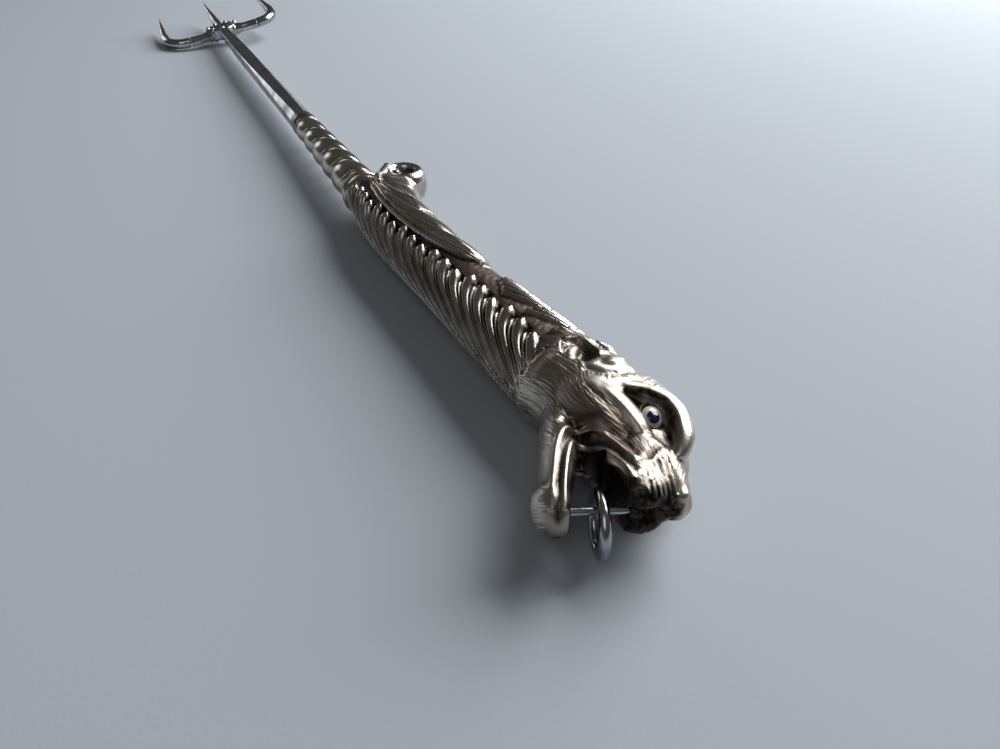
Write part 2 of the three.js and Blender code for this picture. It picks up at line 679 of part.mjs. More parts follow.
const earHollow = {
  ...EAR,
  side: EAR.side + EAR_HOLLOW_DEPTH,
  forward: EAR.forward + EAR_WALL,
  length: EAR.length - EAR_WALL,
  height: EAR.height - EAR_WALL,
};

const headMasses = [
  neckStub(),
  mass(SKULL),
  mass(FOREHEAD),
  ...bothSides(CHEEK),
  ...bothSides(BROW),
  mass(MUZZLE),
  ...bothSides(UPPER_LIP),
  mass(NOSE),
  mass(JAW, 1, JAW_PITCH),
  mass(CHIN),
  ...bothSides(EAR),
];
const headCuts = [
  behindNeck(),
  mouthGap(),
  swingRoom(),
  pinBore(),
  eyeSocket(1),
  eyeSocket(-1),
  ...bothSides(earHollow),
];
const wholeHead = lessTools(joined(headMasses), headCuts);
const headCasting = geometryOf(wholeHead.subtract(solid(jawRegion(CLEARANCE))));
const lowerJaw = geometryOf(wholeHead.intersect(solid(jawRegion(0))));

// Eyes, turned about the direction they look in
function facing(geometry, side, depth) {
  geometry.applyQuaternion(new THREE.Quaternion().setFromUnitVectors(V(0, 1, 0), lookOf(side)));
  return geometry.translate(...eyeSeat(side).addScaledVector(lookOf(side), depth).toArray());
}

function eyeBezel(side) {
  const inner = EYE_RADIUS + CLEARANCE;
  const lip = BEZEL_WALL / 3;
  const ring = turned([
    [inner, 0],
    [bezelRadius, 0],
    [bezelRadius, BEZEL_DEPTH],
    [bezelRadius - lip, BEZEL_DEPTH + lip],
    [inner, BEZEL_DEPTH],
  ], 20);
  return facing(ring, side, 0);
}

function eyeGlass(side) {
  const ring = (radius, height) => Array.from({ length: 20 }, (_, j) => {
    const angle = (2 * Math.PI * j) / 20;
    return V(radius * Math.cos(angle), height, radius * Math.sin(angle));
  });
  const dome = [0.2, 0.4, 0.6, 0.8, 0.95].map((rise) => {
    const radius = EYE_RADIUS * Math.cos((Math.PI / 2) * rise);
    return ring(radius, EYE_THICKNESS + EYE_DOME * Math.sin((Math.PI / 2) * rise));
  });
  return facing(loft([ring(EYE_RADIUS, 0), ring(EYE_RADIUS, EYE_THICKNESS), ...dome]), side, 0);
}

// Ring hanging on the pin, straight down at rest
function hangingRing() {
  const ring = new THREE.TorusGeometry(ringMiddle, RING_WIRE_DIAMETER / 2, 10, 30);
  ring.applyQuaternion(new THREE.Quaternion().setFromUnitVectors(V(0, 0, 1), pinAlong));
  return ring.translate(...ringPlace.clone().add(V(0, 0, -ringDrop)).toArray());
}

// The assembly

function part(name, geometry, material) {
  const mesh = new THREE.Mesh(geometry, material);
  mesh.name = name;
  return mesh;
}

const trident = new THREE.Group();
trident.rotation.y = radians(-TRIDENT_ROLL);
trident.add(
  part('shank', shank(), steel),
  part('fork_hub', hub(), steel),
  part('centre_tine', centreTine(), steel),
  part('left_tine', sideTine(-1), steel),
  part('right_tine', sideTine(1), steel),
);

const grip = new THREE.Group();
grip.add(
  part('shank_collar', collar(shankCollarStart, SHANK_COLLAR_LENGTH, SHANK_COLLAR_DIAMETER), oxidised),
  part('twisted_ferrule', twistedFerrule(), silver),
  part('handle_collar', collar(collarStart, HANDLE_COLLAR_LENGTH, HANDLE_COLLAR_DIAMETER), silver),
  part('handle_shell_right', handleShell(1), silver),
  part('handle_shell_left', handleShell(-1), silver),
  part('handle_filler', fillerCore(), pitch),
  part('leaf_scroll', leafScroll(), silver),
);

const head = new THREE.Group();
head.add(
  part('head_casting', headCasting, silver),
  part('lower_jaw', lowerJaw, silver),
  part('eye_bezel_right', eyeBezel(1), oxidised),
  part('eye_bezel_left', eyeBezel(-1), oxidised),
  part('glass_eye_right', eyeGlass(1), glass),
  part('glass_eye_left', eyeGlass(-1), glass),
  part('mouth_pin', rod(pinUpper, pinLower, PIN_DIAMETER / 2, 12), steel),
  part('hanging_ring', hangingRing(), steel),
);

// Laid on the table: the lower tine and the lower cheek touch it, with the box centred over the origin
const lowest = (group) => new THREE.Box3().setFromObject(group, true).min.z;
const drop = lowest(trident) - lowest(head);
const span = shankEnd - headPoint(SKULL).y;
const fork = new THREE.Group();
fork.add(trident, grip, head);
fork.rotation.x = -Math.asin(drop / span);
const box = new THREE.Box3().setFromObject(fork, true);
const middle = box.getCenter(V(0, 0, 0));
fork.position.set(-middle.x, -middle.y, -box.min.z);

export default fork;
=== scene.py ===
"""Toasting fork in silver plate with a big cat's head: the dressed model, its finishes and its studio.

Shapes are worked in millimetres in the fork's own frame, in which Y is the shank's axis and points to the tines,
X points to the back of the animal's neck and Z is up. Each finished piece is then laid into the row frame in metres.
"""

import logging
import math
from dataclasses import dataclass
from enum import Enum
from typing import Callable, Sequence

import bpy
import numpy as np
from mathutils import Matrix, Vector


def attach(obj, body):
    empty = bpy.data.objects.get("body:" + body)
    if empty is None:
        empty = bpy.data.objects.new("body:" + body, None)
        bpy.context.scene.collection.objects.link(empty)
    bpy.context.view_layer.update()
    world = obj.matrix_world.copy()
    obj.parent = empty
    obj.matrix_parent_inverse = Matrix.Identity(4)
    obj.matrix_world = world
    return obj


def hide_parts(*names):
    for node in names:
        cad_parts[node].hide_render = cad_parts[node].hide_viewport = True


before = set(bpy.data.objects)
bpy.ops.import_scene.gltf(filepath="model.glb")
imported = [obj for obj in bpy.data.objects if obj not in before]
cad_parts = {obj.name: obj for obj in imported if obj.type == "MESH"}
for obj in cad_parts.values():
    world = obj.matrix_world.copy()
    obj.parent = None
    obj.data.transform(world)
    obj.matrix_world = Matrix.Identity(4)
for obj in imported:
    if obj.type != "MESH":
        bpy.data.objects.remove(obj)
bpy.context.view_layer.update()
log = logging.getLogger("toasting_fork")

Array = np.ndarray
Path2 = Sequence[tuple[float, float]]
Place = tuple[float, float, float]
Relief = tuple[Array, Array, Array]
Piece = bpy.types.Object
Material = bpy.types.Material
Socket = bpy.types.NodeSocket

# The fork lies on its lower tine and its lower cheek, so its axis is tilted and lifted a little.
TILT = math.radians(-0.65696)
LAID_AT = Vector((0.03133, -52.42255, 8.35693))
TO_ROW = Matrix.Scale(0.001, 4) @ Matrix.Translation(LAID_AT) @ Matrix.Rotation(TILT, 4, "X")
TRIDENT_ROLL = Matrix.Rotation(math.radians(-10.0), 4, "Y")
TABLE_GAP_M = 0.00001
MERGE_REACH = 0.004
SIGNS = (-1, 1)


class Body(Enum):
    """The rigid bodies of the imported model."""

    FORK = "fork"
    RING = "ring"


class Slot(Enum):
    """The record's material slots."""

    GRIP = "grip_silver"
    SHANK = "shank_silver"
    EYE = "eye_glass"
    PITCH = "pitch"


class Side(Enum):
    """The two flanks; the right one lies uppermost."""

    RIGHT = 1
    LEFT = -1


# Finishes


def linear(code: str) -> tuple[float, float, float, float]:
    """Turns an sRGB hex colour into linear red, green and blue with an alpha of one."""
    parts = [int(code[i:i + 2], 16) / 255 for i in (1, 3, 5)]
    return *(c / 12.92 if c <= 0.04045 else ((c + 0.055) / 1.055) ** 2.4 for c in parts), 1.0


def per_metre(size_mm: float) -> float:
    """Texture scale, in features per metre, for a feature of the given size."""
    return 1000.0 / size_mm


class Paintbox:
    """The nodes of one material while it is put together."""

    def __init__(self, name: str) -> None:
        """Starts a material on the piece's own coordinates.

        Args:
            name: The material's name.
        """
        self.material = bpy.data.materials.new(name)
        self.material.use_nodes = True
        self.tree = self.material.node_tree
        self.place = self.node("TexCoord", "Object")

    def fill(self, node: bpy.types.Node, inputs: dict) -> None:
        """Sets a node's inputs.

        Args:
            node: The node.
            inputs: Values, hex colours or output sockets by input name or index.
        """
        for name, value in inputs.items():
            if isinstance(value, Socket):
                self.tree.links.new(value, node.inputs[name])
            else:
                node.inputs[name].default_value = linear(value) if isinstance(value, str) else value

    def node(self, kind: str, output: str, inputs: dict | None = None, **settings: object) -> Socket:
        """Adds one shader node.

        Args:
            kind: Node type without the ShaderNode prefix.
            output: Name of the output that is wanted.
            inputs: What goes into it, as for fill.
            settings: Node properties.

        Returns:
            The output socket.
        """
        node = self.tree.nodes.new("ShaderNode" + kind)
        for name, value in settings.items():
            setattr(node, name, value)
        self.fill(node, inputs or {})
        return node.outputs[output]

    def attribute(self, name: str, output: str = "Fac") -> Socket:
        """Reads what was painted on the piece."""
        return self.node("Attribute", output, attribute_name=name)

    def noise(self, size_mm: float, detail: float) -> Socket:
        """Noise whose features have a real size."""
        return self.node("TexNoise", "Fac", {"Vector": self.place, "Scale": per_metre(size_mm), "Detail": detail})

    def mix(self, factor: Socket, first: Socket | str, second: Socket | str) -> Socket:
        """Blends two colours."""
        return self.node("Mix", "Result", {"Factor": factor, "A": first, "B": second}, data_type="RGBA")

    def maths(self, operation: str, first: Socket, second: Socket | float, clip: bool = False) -> Socket:
        """Works out one number from two."""
        return self.node("Math", "Value", {0: first, 1: second}, operation=operation, use_clamp=clip)

    def spread(self, value: Socket, source: tuple = (0.0, 1.0), target: tuple = (0.0, 1.0)) -> Socket:
        """Maps one range of values to another."""
        ends = zip(("From Min", "From Max", "To Min", "To Max"), (*source, *target))
        return self.node("MapRange", "Result", {"Value": value, **dict(ends)})

    def bump(self, height: Socket, strength: Socket | float, depth_m: float, **under: Socket) -> Socket:
        """Turns a height into shaded relief, over an earlier normal if one is given."""
        return self.node("Bump", "Normal", {"Height": height, "Strength": strength, "Distance": depth_m, **under})

    def finish(self, inputs: dict) -> Material:
        """Fills the principled shader and gives the material."""
        self.fill(self.tree.nodes["Principled BSDF"], inputs)
        return self.material


@dataclass(frozen=True)
class ChasedSilver:
    """Silver plate, cast and chased, rubbed bright on the high parts and left oxidised in the hollows; its dark colour
    also serves as painted shade where a piece paints it.
    """

    name: str = "oxidised_silver_plate"
    bright: str = "#D6D0C6"
    worn: str = "#A2978A"
    # The dark brown of the oxide, which also colours the painted shade.
    oxide_and_shade: str = "#231A14"
    bare: str = "#86756B"
    bright_roughness: float = 0.2
    oxide_roughness: float = 0.42
    tarnish_mm: float = 5.0
    speck_mm: float = 0.9
    scratch_mm: float = 0.35
    chasing: float = 0.0

    def build(self) -> Material:
        """Builds the material.

        The eye sees warm bright metal that turns brown and then nearly black in the cuts, with a little cloudy
        tarnish and fine rubbing marks, drawn coarser than real ones so that they show.

        Returns:
            The material.
        """
        box = Paintbox(self.name)
        strip = box.attribute("bare")
        tarnish = box.spread(box.noise(self.tarnish_mm, 4.0), (0.4, 0.75))
        ground = box.mix(strip, box.mix(tarnish, self.bright, self.worn), self.bare)
        ragged = box.spread(box.noise(self.speck_mm, 3.0), (0.3, 0.7), (0.9, 1.12))
        # The hollow attribute holds oxide and painted shade together; both darken the metal here.
        depth = box.maths("MULTIPLY", box.attribute("hollow"), ragged, True)
        dull = box.maths("MAXIMUM", depth, strip)
        normal = box.bump(box.noise(self.scratch_mm, 2.0), 0.06, 0.0004)
        if self.chasing:
            cut = box.maths("MULTIPLY", box.attribute("coat"), self.chasing)
            lay = box.attribute("fur", "Vector")
            hairs = box.node("TexNoise", "Fac", {"Vector": lay, "Scale": 1.0, "Detail": 1.5})
            normal = box.bump(hairs, cut, 0.0005, Normal=normal)
        return box.finish({"Base Color": box.mix(depth, ground, self.oxide_and_shade), "Metallic": 1.0, "Normal": normal,
                           "Roughness": box.spread(dull, target=(self.bright_roughness, self.oxide_roughness))})


@dataclass(frozen=True)
class PlainSilver:
    """Silver plate on forged steel, drawn smooth and polished along its length."""

    name: str = "polished_silver_plate"
    bright: str = "#C6C8CB"
    worn: str = "#8E9298"
    roughness: float = 0.16
    worn_roughness: float = 0.3
    cloud_mm: float = 9.0
    stroke_mm: Place = (0.5, 14.0, 0.5)

    def build(self) -> Material:
        """Builds the material.

        The eye sees a cool bright bar with faint grey clouds and polishing strokes that run lengthwise.

        Returns:
            The material.
        """
        box = Paintbox(self.name)
        dull = box.spread(box.noise(self.cloud_mm, 5.0), (0.42, 0.72))
        scale = tuple(per_metre(size) for size in self.stroke_mm)
        along = box.node("Mapping", "Vector", {"Vector": box.place, "Scale": scale})
        strokes = box.node("TexNoise", "Fac", {"Vector": along, "Scale": 1.0, "Detail": 2.0})
        return box.finish({"Base Color": box.mix(dull, self.bright, self.worn), "Metallic": 1.0,
                           "Roughness": box.spread(dull, target=(self.roughness, self.worn_roughness)),
                           "Normal": box.bump(strokes, 0.05, 0.0003)})


@dataclass(frozen=True)
class EyeGlass:
    """Opaque lamp-worked glass: a pale eye with a dark blue pupil under a clear polished dome, and a lighter blue
    painted glint in the pupil's middle.
    """

    name: str = "lamp_worked_glass"
    white: str = "#CFCBC0"
    edge: str = "#6F6A66"
    pupil: str = "#10173F"
    painted_glint: str = "#2B3272"
    radius_mm: float = 2.1
    seed_mm: float = 0.6

    def build(self) -> Material:
        """Builds the material; rings of colour follow the piece's own distance from the middle of the eye.

        Returns:
            The material.
        """
        box = Paintbox(self.name)
        share = box.maths("DIVIDE", box.attribute("ring"), self.radius_mm, True)
        rings = box.node("ValToRGB", "Color", {"Fac": share})
        # The lighter blue in the pupil's middle is a painted glint.
        stops = ((0.0, self.painted_glint), (0.22, self.pupil), (0.5, self.pupil), (0.58, self.white), (0.86, self.white),
                 (1.0, self.edge))
        elements = rings.node.color_ramp.elements
        while len(elements) < len(stops):
            elements.new(1.0)
        for element, (place, code) in zip(elements, stops):
            element.position = place
            element.color = linear(code)
        shade = box.spread(box.noise(self.seed_mm, 3.0), target=(0.85, 1.1))
        colour = box.node("Mix", "Result", {"Factor": 1.0, "A": rings, "B": shade}, data_type="RGBA",
                          blend_type="MULTIPLY")
        return box.finish({"Base Color": colour, "Roughness": 0.06, "IOR": 1.52, "Coat Weight": 0.6,
                           "Coat Roughness": 0.03})


@dataclass(frozen=True)
class HandlePitch:
    """Cutler's pitch: a dark resin and brick dust filling, cast hot inside the grip."""

    name: str = "cutlers_pitch"
    dark: str = "#2B1C14"
    dust: str = "#4A2F22"
    grain_mm: float = 1.2

    def build(self) -> Material:
        """Builds the material; the eye would see dull brown grains in a nearly black resin.

        Returns:
            The material.
        """
        box = Paintbox(self.name)
        grains = box.noise(self.grain_mm, 4.0)
        return box.finish({"Base Color": box.mix(grains, self.dark, self.dust), "Roughness": 0.85,
                           "Normal": box.bump(grains, 0.3, 0.0003)})


@dataclass(frozen=True)
class MattPaper:
    """Pale matt paper for the floor: no shine, and a faint grain."""

    name: str = "matt_paper"
    colour: str = "#AEB6BF"
    fibre_mm: float = 0.8

    def build(self) -> Material:
        """Builds the material; the eye sees one even pale tone.

        Returns:
            The material.
        """
        box = Paintbox(self.name)
        return box.finish({"Base Color": self.colour, "Roughness": 0.9,
                           "Normal": box.bump(box.noise(self.fibre_mm, 2.0), 0.08, 0.0002)})


# Bench tools


def take_up(*pieces: Piece) -> None:
    """Selects only these objects and makes the first one active.

    Args:
        pieces: The objects.
    """
    bpy.ops.object.select_all(action="DESELECT")
    for piece in pieces:
        piece.select_set(True)
    bpy.context.view_layer.objects.active = pieces[0]


def link(name: str, data: bpy.types.ID) -> Piece:
    """Adds an object for a mesh, curve, lamp or camera to the scene.

    Args:
        name: Its name.
        data: What it shows.

    Returns:
        The object.
    """
    piece = bpy.data.objects.new(name, data)
    bpy.context.scene.collection.objects.link(piece)
    return piece


def added(operator: Callable[..., object], **settings: object) -> Piece:
    """Runs one of Blender's add operators.

    Args:
        operator: The operator.
        settings: Its settings.

    Returns:
        The new object.
    """
    bpy.ops.object.select_all(action="DESELECT")
    operator(**settings)
    return bpy.context.object


def apply_modifier(piece: Piece, kind: str, **settings: object) -> None:
    """Adds a modifier to a piece and applies it.

    Args:
        piece: The piece.
        kind: Modifier type.
        settings: Modifier properties.
    """
    take_up(piece)
    modifier = piece.modifiers.new(kind.lower(), kind)
    for name, value in settings.items():
        setattr(modifier, name, value)
    bpy.ops.object.modifier_apply(modifier=modifier.name)


def fuse(piece: Piece, voxel: float, smoothing: int = 0) -> None:
    """Runs overlapping masses together into one skin.

    Args:
        piece: The masses.
        voxel: Fineness of the skin.
        smoothing: Rounds of smoothing.
    """
    apply_modifier(piece, "REMESH", mode="VOXEL", voxel_size=voxel)
    if smoothing:
        apply_modifier(piece, "SMOOTH", factor=0.5, iterations=smoothing)


def cut_with(piece: Piece, tool: Piece, operation: str = "DIFFERENCE") -> None:
    """Applies a boolean with a tool solid and throws the tool away."""
    apply_modifier(piece, "BOOLEAN", operation=operation, object=tool, solver="EXACT")
    bpy.data.objects.remove(tool)


def rework(piece: Piece, *steps: Callable[[], object]) -> None:
    """Runs mesh operators on a piece.

    Args:
        piece: The piece.
        steps: The operators, each started with everything selected.
    """
    take_up(piece)
    bpy.ops.object.mode_set(mode="EDIT")
    for step in steps:
        bpy.ops.mesh.select_all(action="SELECT")
        step()
    bpy.ops.object.mode_set(mode="OBJECT")


def merge() -> None:
    """Merges vertices that lie on one another."""
    bpy.ops.mesh.remove_doubles(threshold=MERGE_REACH)


def fill_ends() -> None:
    """Closes open ends with flat faces."""
    bpy.ops.mesh.select_all(action="DESELECT")
    bpy.ops.mesh.select_mode(type="EDGE")
    bpy.ops.mesh.select_non_manifold()
    bpy.ops.mesh.edge_face_add()


def face_out() -> None:
    """Turns every face outwards."""
    bpy.ops.mesh.normals_make_consistent(inside=False)


def close_up(piece: Piece) -> None:
    """Merges doubles, fills open ends and turns every face outwards."""
    rework(piece, merge, fill_ends, face_out)


def rows_of(piece: Piece, field: str) -> Array:
    """One row of three numbers for each vertex.

    Args:
        piece: The piece.
        field: What to read, such as co or normal.

    Returns:
        The rows.
    """
    values = np.empty(len(piece.data.vertices) * 3, np.float32)
    piece.data.vertices.foreach_get(field, values)
    return values.reshape(-1, 3).astype(float)


def points_of(piece: Piece) -> Array:
    """Vertex places of a piece, one row each."""
    return rows_of(piece, "co")


def normals_of(piece: Piece) -> Array:
    """Vertex normals of a piece, one row each."""
    return rows_of(piece, "normal")


def move_points(piece: Piece, places: Array) -> None:
    """Writes new vertex places back to a piece."""
    piece.data.vertices.foreach_set("co", places.astype(np.float32).ravel())
    piece.data.update()


def paint(piece: Piece, name: str, values: Array | float) -> None:
    """Stores numbers for each vertex.

    Args:
        piece: The piece.
        name: Attribute name that the finish reads.
        values: One value for all vertices, or one value or one row of three for each.
    """
    if not isinstance(values, Array):
        values = np.full(len(piece.data.vertices), values)
    vector = values.ndim == 2
    kind = "FLOAT_VECTOR" if vector else "FLOAT"
    layer = piece.data.attributes.get(name) or piece.data.attributes.new(name, kind, "POINT")
    layer.data.foreach_set("vector" if vector else "value", values.astype(np.float32).ravel())


def hollowness(piece: Piece, rounds: int) -> Array:
    """How far each vertex lies below the smoothed surface around it.

    Args:
        piece: The piece.
        rounds: Smoothing rounds, which set how wide a hollow is seen.

    Returns:
        Depth at each vertex, above zero in hollows and below zero on ridges.
    """
    edges = np.empty(len(piece.data.edges) * 2, np.int32)
    piece.data.edges.foreach_get("vertices", edges)
    one, other = edges.reshape(-1, 2).T
    start = smooth = points_of(piece)
    size = len(start)
    counts = np.maximum(np.bincount(edges, minlength=size), 1)
    for _ in range(rounds):
        smooth = np.column_stack([(np.bincount(one, axis[other], size) + np.bincount(other, axis[one], size)) / counts
                                  for axis in smooth.T])
    return np.einsum("ij,ij->i", smooth - start, normals_of(piece))


def smoothstep(values: Array, low: float, high: float) -> Array:
    """Smooth rise from 0 at low to 1 at high."""
    share = np.clip((values - low) / (high - low), 0.0, 1.0)
    return share * share * (3.0 - 2.0 * share)


def half_round(offset: Array, half: float | Array) -> Array:
    """Half-round section: 1 in the middle, and 0 from half its width outwards."""
    return np.sqrt(np.clip(1 - (offset / half) ** 2, 0, 1))


def bell(offset: Array, width: float) -> Array:
    """Bell-shaped section: 1 in the middle, fading over a width."""
    return np.exp(-(offset / width) ** 2)


def grain(across: Array, along: Array, seed: int) -> Array:
    """Smooth seeded noise from 0 to 1 on two coordinates.

    Args:
        across: First coordinate, one cell for each unit.
        along: Second coordinate.
        seed: Seed of the table.

    Returns:
        Noise values.
    """
    size = 128
    table = np.random.default_rng(seed).random((size, size))
    i, j = np.floor(across).astype(int), np.floor(along).astype(int)
    u, v = across - i, along - j
    u, v = u * u * (3 - 2 * u), v * v * (3 - 2 * v)
    low, high = (table[i % size, k % size] * (1 - u) + table[(i + 1) % size, k % size] * u for k in (j, j + 1))
    return low * (1 - v) + high * v


def away_from(path: Path2, first: Array, second: Array) -> Array:
    """Distance of points in a plane from a broken line.

    Args:
        path: The line's corners.
        first: First coordinate of each point.
        second: Second coordinate of each point.

    Returns:
        One distance for each point.
    """
    corners = np.asarray(path, float)
    if len(corners) == 1:
        return np.hypot(first - corners[0, 0], second - corners[0, 1])
    best = np.full(first.shape, np.inf)
    for start, end in zip(corners[:-1], corners[1:]):
        run = end - start
        share = ((first - start[0]) * run[0] + (second - start[1]) * run[1]) / max(run @ run, 1e-9)
        share = np.clip(share, 0.0, 1.0)
        best = np.minimum(best, np.hypot(first - start[0] - share * run[0], second - start[1] - share * run[1]))
    return best


def along_path(path: Path2, place: Array) -> Array:
    """Second coordinate of a broken line at places along its first."""
    return np.interp(place, *np.array(path).T)


def wrapped_grid(columns: int, rows: int, shape: Callable[[Array, Array], Array]) -> Piece:
    """Adds a grid and lays it over a surface.

    Args:
        columns: Faces along the first direction.
        rows: Faces along the second direction.
        shape: Gives places from two shares from 0 to 1.

    Returns:
        The laid grid.
    """
    sheet = added(bpy.ops.mesh.primitive_grid_add, x_subdivisions=columns, y_subdivisions=rows, size=2.0)
    flat = points_of(sheet)
    move_points(sheet, shape((flat[:, 0] + 1) / 2, (flat[:, 1] + 1) / 2))
    return sheet


def turn_to(start: Vector, end: Vector) -> Matrix:
    """The shortest turn from one direction to another."""
    return start.rotation_difference(end).to_matrix().to_4x4()


def rod(start: Vector, end: Vector, radius: float, sides: int = 24) -> Piece:
    """Adds a round rod between two points.

    Args:
        start: One end.
        end: The other end.
        radius: Its radius.
        sides: Facets around.

    Returns:
        The rod.
    """
    run = end - start
    piece = added(bpy.ops.mesh.primitive_cylinder_add, vertices=sides, radius=radius, depth=run.length)
    piece.data.transform(Matrix.Translation((start + end) / 2) @ turn_to(Vector((0, 0, 1)), run))
    return piece


def ball(centre: Sequence[float], half: Sequence[float], pitch: float = 0.0, rings: int = 20) -> Piece:
    """Adds a rounded mass.

    Args:
        centre: Its middle.
        half: Half sizes along X, Y and Z.
        pitch: Turn about Z, in degrees.
        rings: Facets from pole to pole.

    Returns:
        The mass.
    """
    piece = added(bpy.ops.mesh.primitive_uv_sphere_add, segments=2 * rings, ring_count=rings, radius=1.0)
    turn = Matrix.Rotation(math.radians(pitch), 4, "Z")
    piece.data.transform(Matrix.Translation(centre) @ turn @ Matrix.Diagonal((*half, 1.0)))
    return piece


def join(pieces: Sequence[Piece]) -> Piece:
    """Joins objects into the first one.

    Args:
        pieces: The objects.

    Returns:
        The joined object.
    """
    take_up(*pieces)
    bpy.ops.object.join()
    return bpy.context.object


def turned(profile: Path2, steps: int = 96) -> Piece:
    """Spins a closed profile about the shank's axis.

    Args:
        profile: Corners as radius and place along Y.
        steps: Facets around.

    Returns:
        The turned ring.
    """
    mesh = bpy.data.meshes.new("profile")
    count = len(profile)
    edges = [(i, (i + 1) % count) for i in range(count)]
    mesh.from_pydata([(radius, along, 0.0) for radius, along in profile], edges, [])
    piece = link("profile", mesh)
    rework(piece, lambda: bpy.ops.mesh.spin(steps=steps, angle=2 * math.pi, center=(0, 0, 0), axis=(0, 1, 0)))
    close_up(piece)
    return piece


def spline(corners: Sequence[Sequence[float]], steps: int) -> Array:
    """Smooth curve through corners.

    Args:
        corners: Points of any dimension.
        steps: Points between two corners.

    Returns:
        Points along the curve.
    """
    points = np.asarray(corners, float)
    padded = np.vstack([2 * points[0] - points[1], points, 2 * points[-1] - points[-2]])
    out = []
    for a, b, c, d in zip(padded[:-3], padded[1:-2], padded[2:-1], padded[3:]):
        for w in np.linspace(0, 1, steps, endpoint=False):
            out.append(0.5 * (2 * b + (c - a) * w + (2 * a - 5 * b + 4 * c - d) * w ** 2
                              + (3 * b - a - 3 * c + d) * w ** 3))
    return np.array([*out, points[-1]])


def drawn_bar(path: Array, radii: Array, resolution: int = 3) -> Piece:
    """Draws a round bar along a path.

    Args:
        path: Points along its middle.
        radii: Radius at each point.
        resolution: Roundness of the section.

    Returns:
        The bar as a mesh.
    """
    curve = bpy.data.curves.new("bar", "CURVE")
    curve.dimensions = "3D"
    line = curve.splines.new("POLY")
    line.points.add(len(path) - 1)
    line.points.foreach_set("co", np.hstack([path, np.ones((len(path), 1))]).ravel())
    line.points.foreach_set("radius", np.asarray(radii, float))
    curve.bevel_depth = 1.0
    curve.bevel_resolution = resolution
    curve.use_fill_caps = True
    take_up(link("bar", curve))
    bpy.ops.object.convert(target="MESH")
    piece = bpy.context.object
    close_up(piece)
    return piece


@dataclass
class Bench:
    """Finishes, and the last steps that each piece goes through."""

    finishes: dict[Slot, Material]
    fur: Material
    beaded: Material

    def hand_over(self, piece: Piece, name: str, slot: Slot, node: str, body: Body = Body.FORK,
                  smooth: float = 60.0, material: Material | None = None) -> None:
        """Lays a finished piece into the row frame and on the table, dresses it and ties it to its body.

        Args:
            piece: The piece, in millimetres in the fork's own frame.
            name: Its name.
            slot: The record's material slot.
            node: The CAD node that it stands for.
            body: The body that it rides on.
            smooth: Angle in degrees up to which edges are shaded smooth.
            material: Finish other than the slot's own.
        """
        piece.name = piece.data.name = name
        piece.data.transform(TO_ROW)
        places = points_of(piece)
        places[:, 2] = np.maximum(places[:, 2], TABLE_GAP_M)
        move_points(piece, places)
        piece.data.materials.clear()
        piece.data.materials.append(material or self.finishes[slot])
        take_up(piece)
        bpy.ops.object.shade_smooth_by_angle(angle=math.radians(smooth))
        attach(piece, body.value)
        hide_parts(node)
        log.info("%s: %d faces, lowest point %.2f mm", name, len(piece.data.polygons),
                 1000 * points_of(piece)[:, 2].min())

    def stain(self, piece: Piece, rounds: int, strength: float = 4.0, rise: float = 0.02) -> Array:
        """Lets oxide settle in the hollows of a piece.

        Args:
            piece: The piece, in millimetres.
            rounds: Smoothing rounds of the hollow finder.
            strength: Darkness for each millimetre of depth.
            rise: Depth that still stays bright.

        Returns:
            Darkness of each vertex, from 0 to 1.
        """
        dark = np.clip((hollowness(piece, rounds) - rise) * strength, 0.0, 1.0)
        paint(piece, "hollow", dark)
        return dark


# Grip


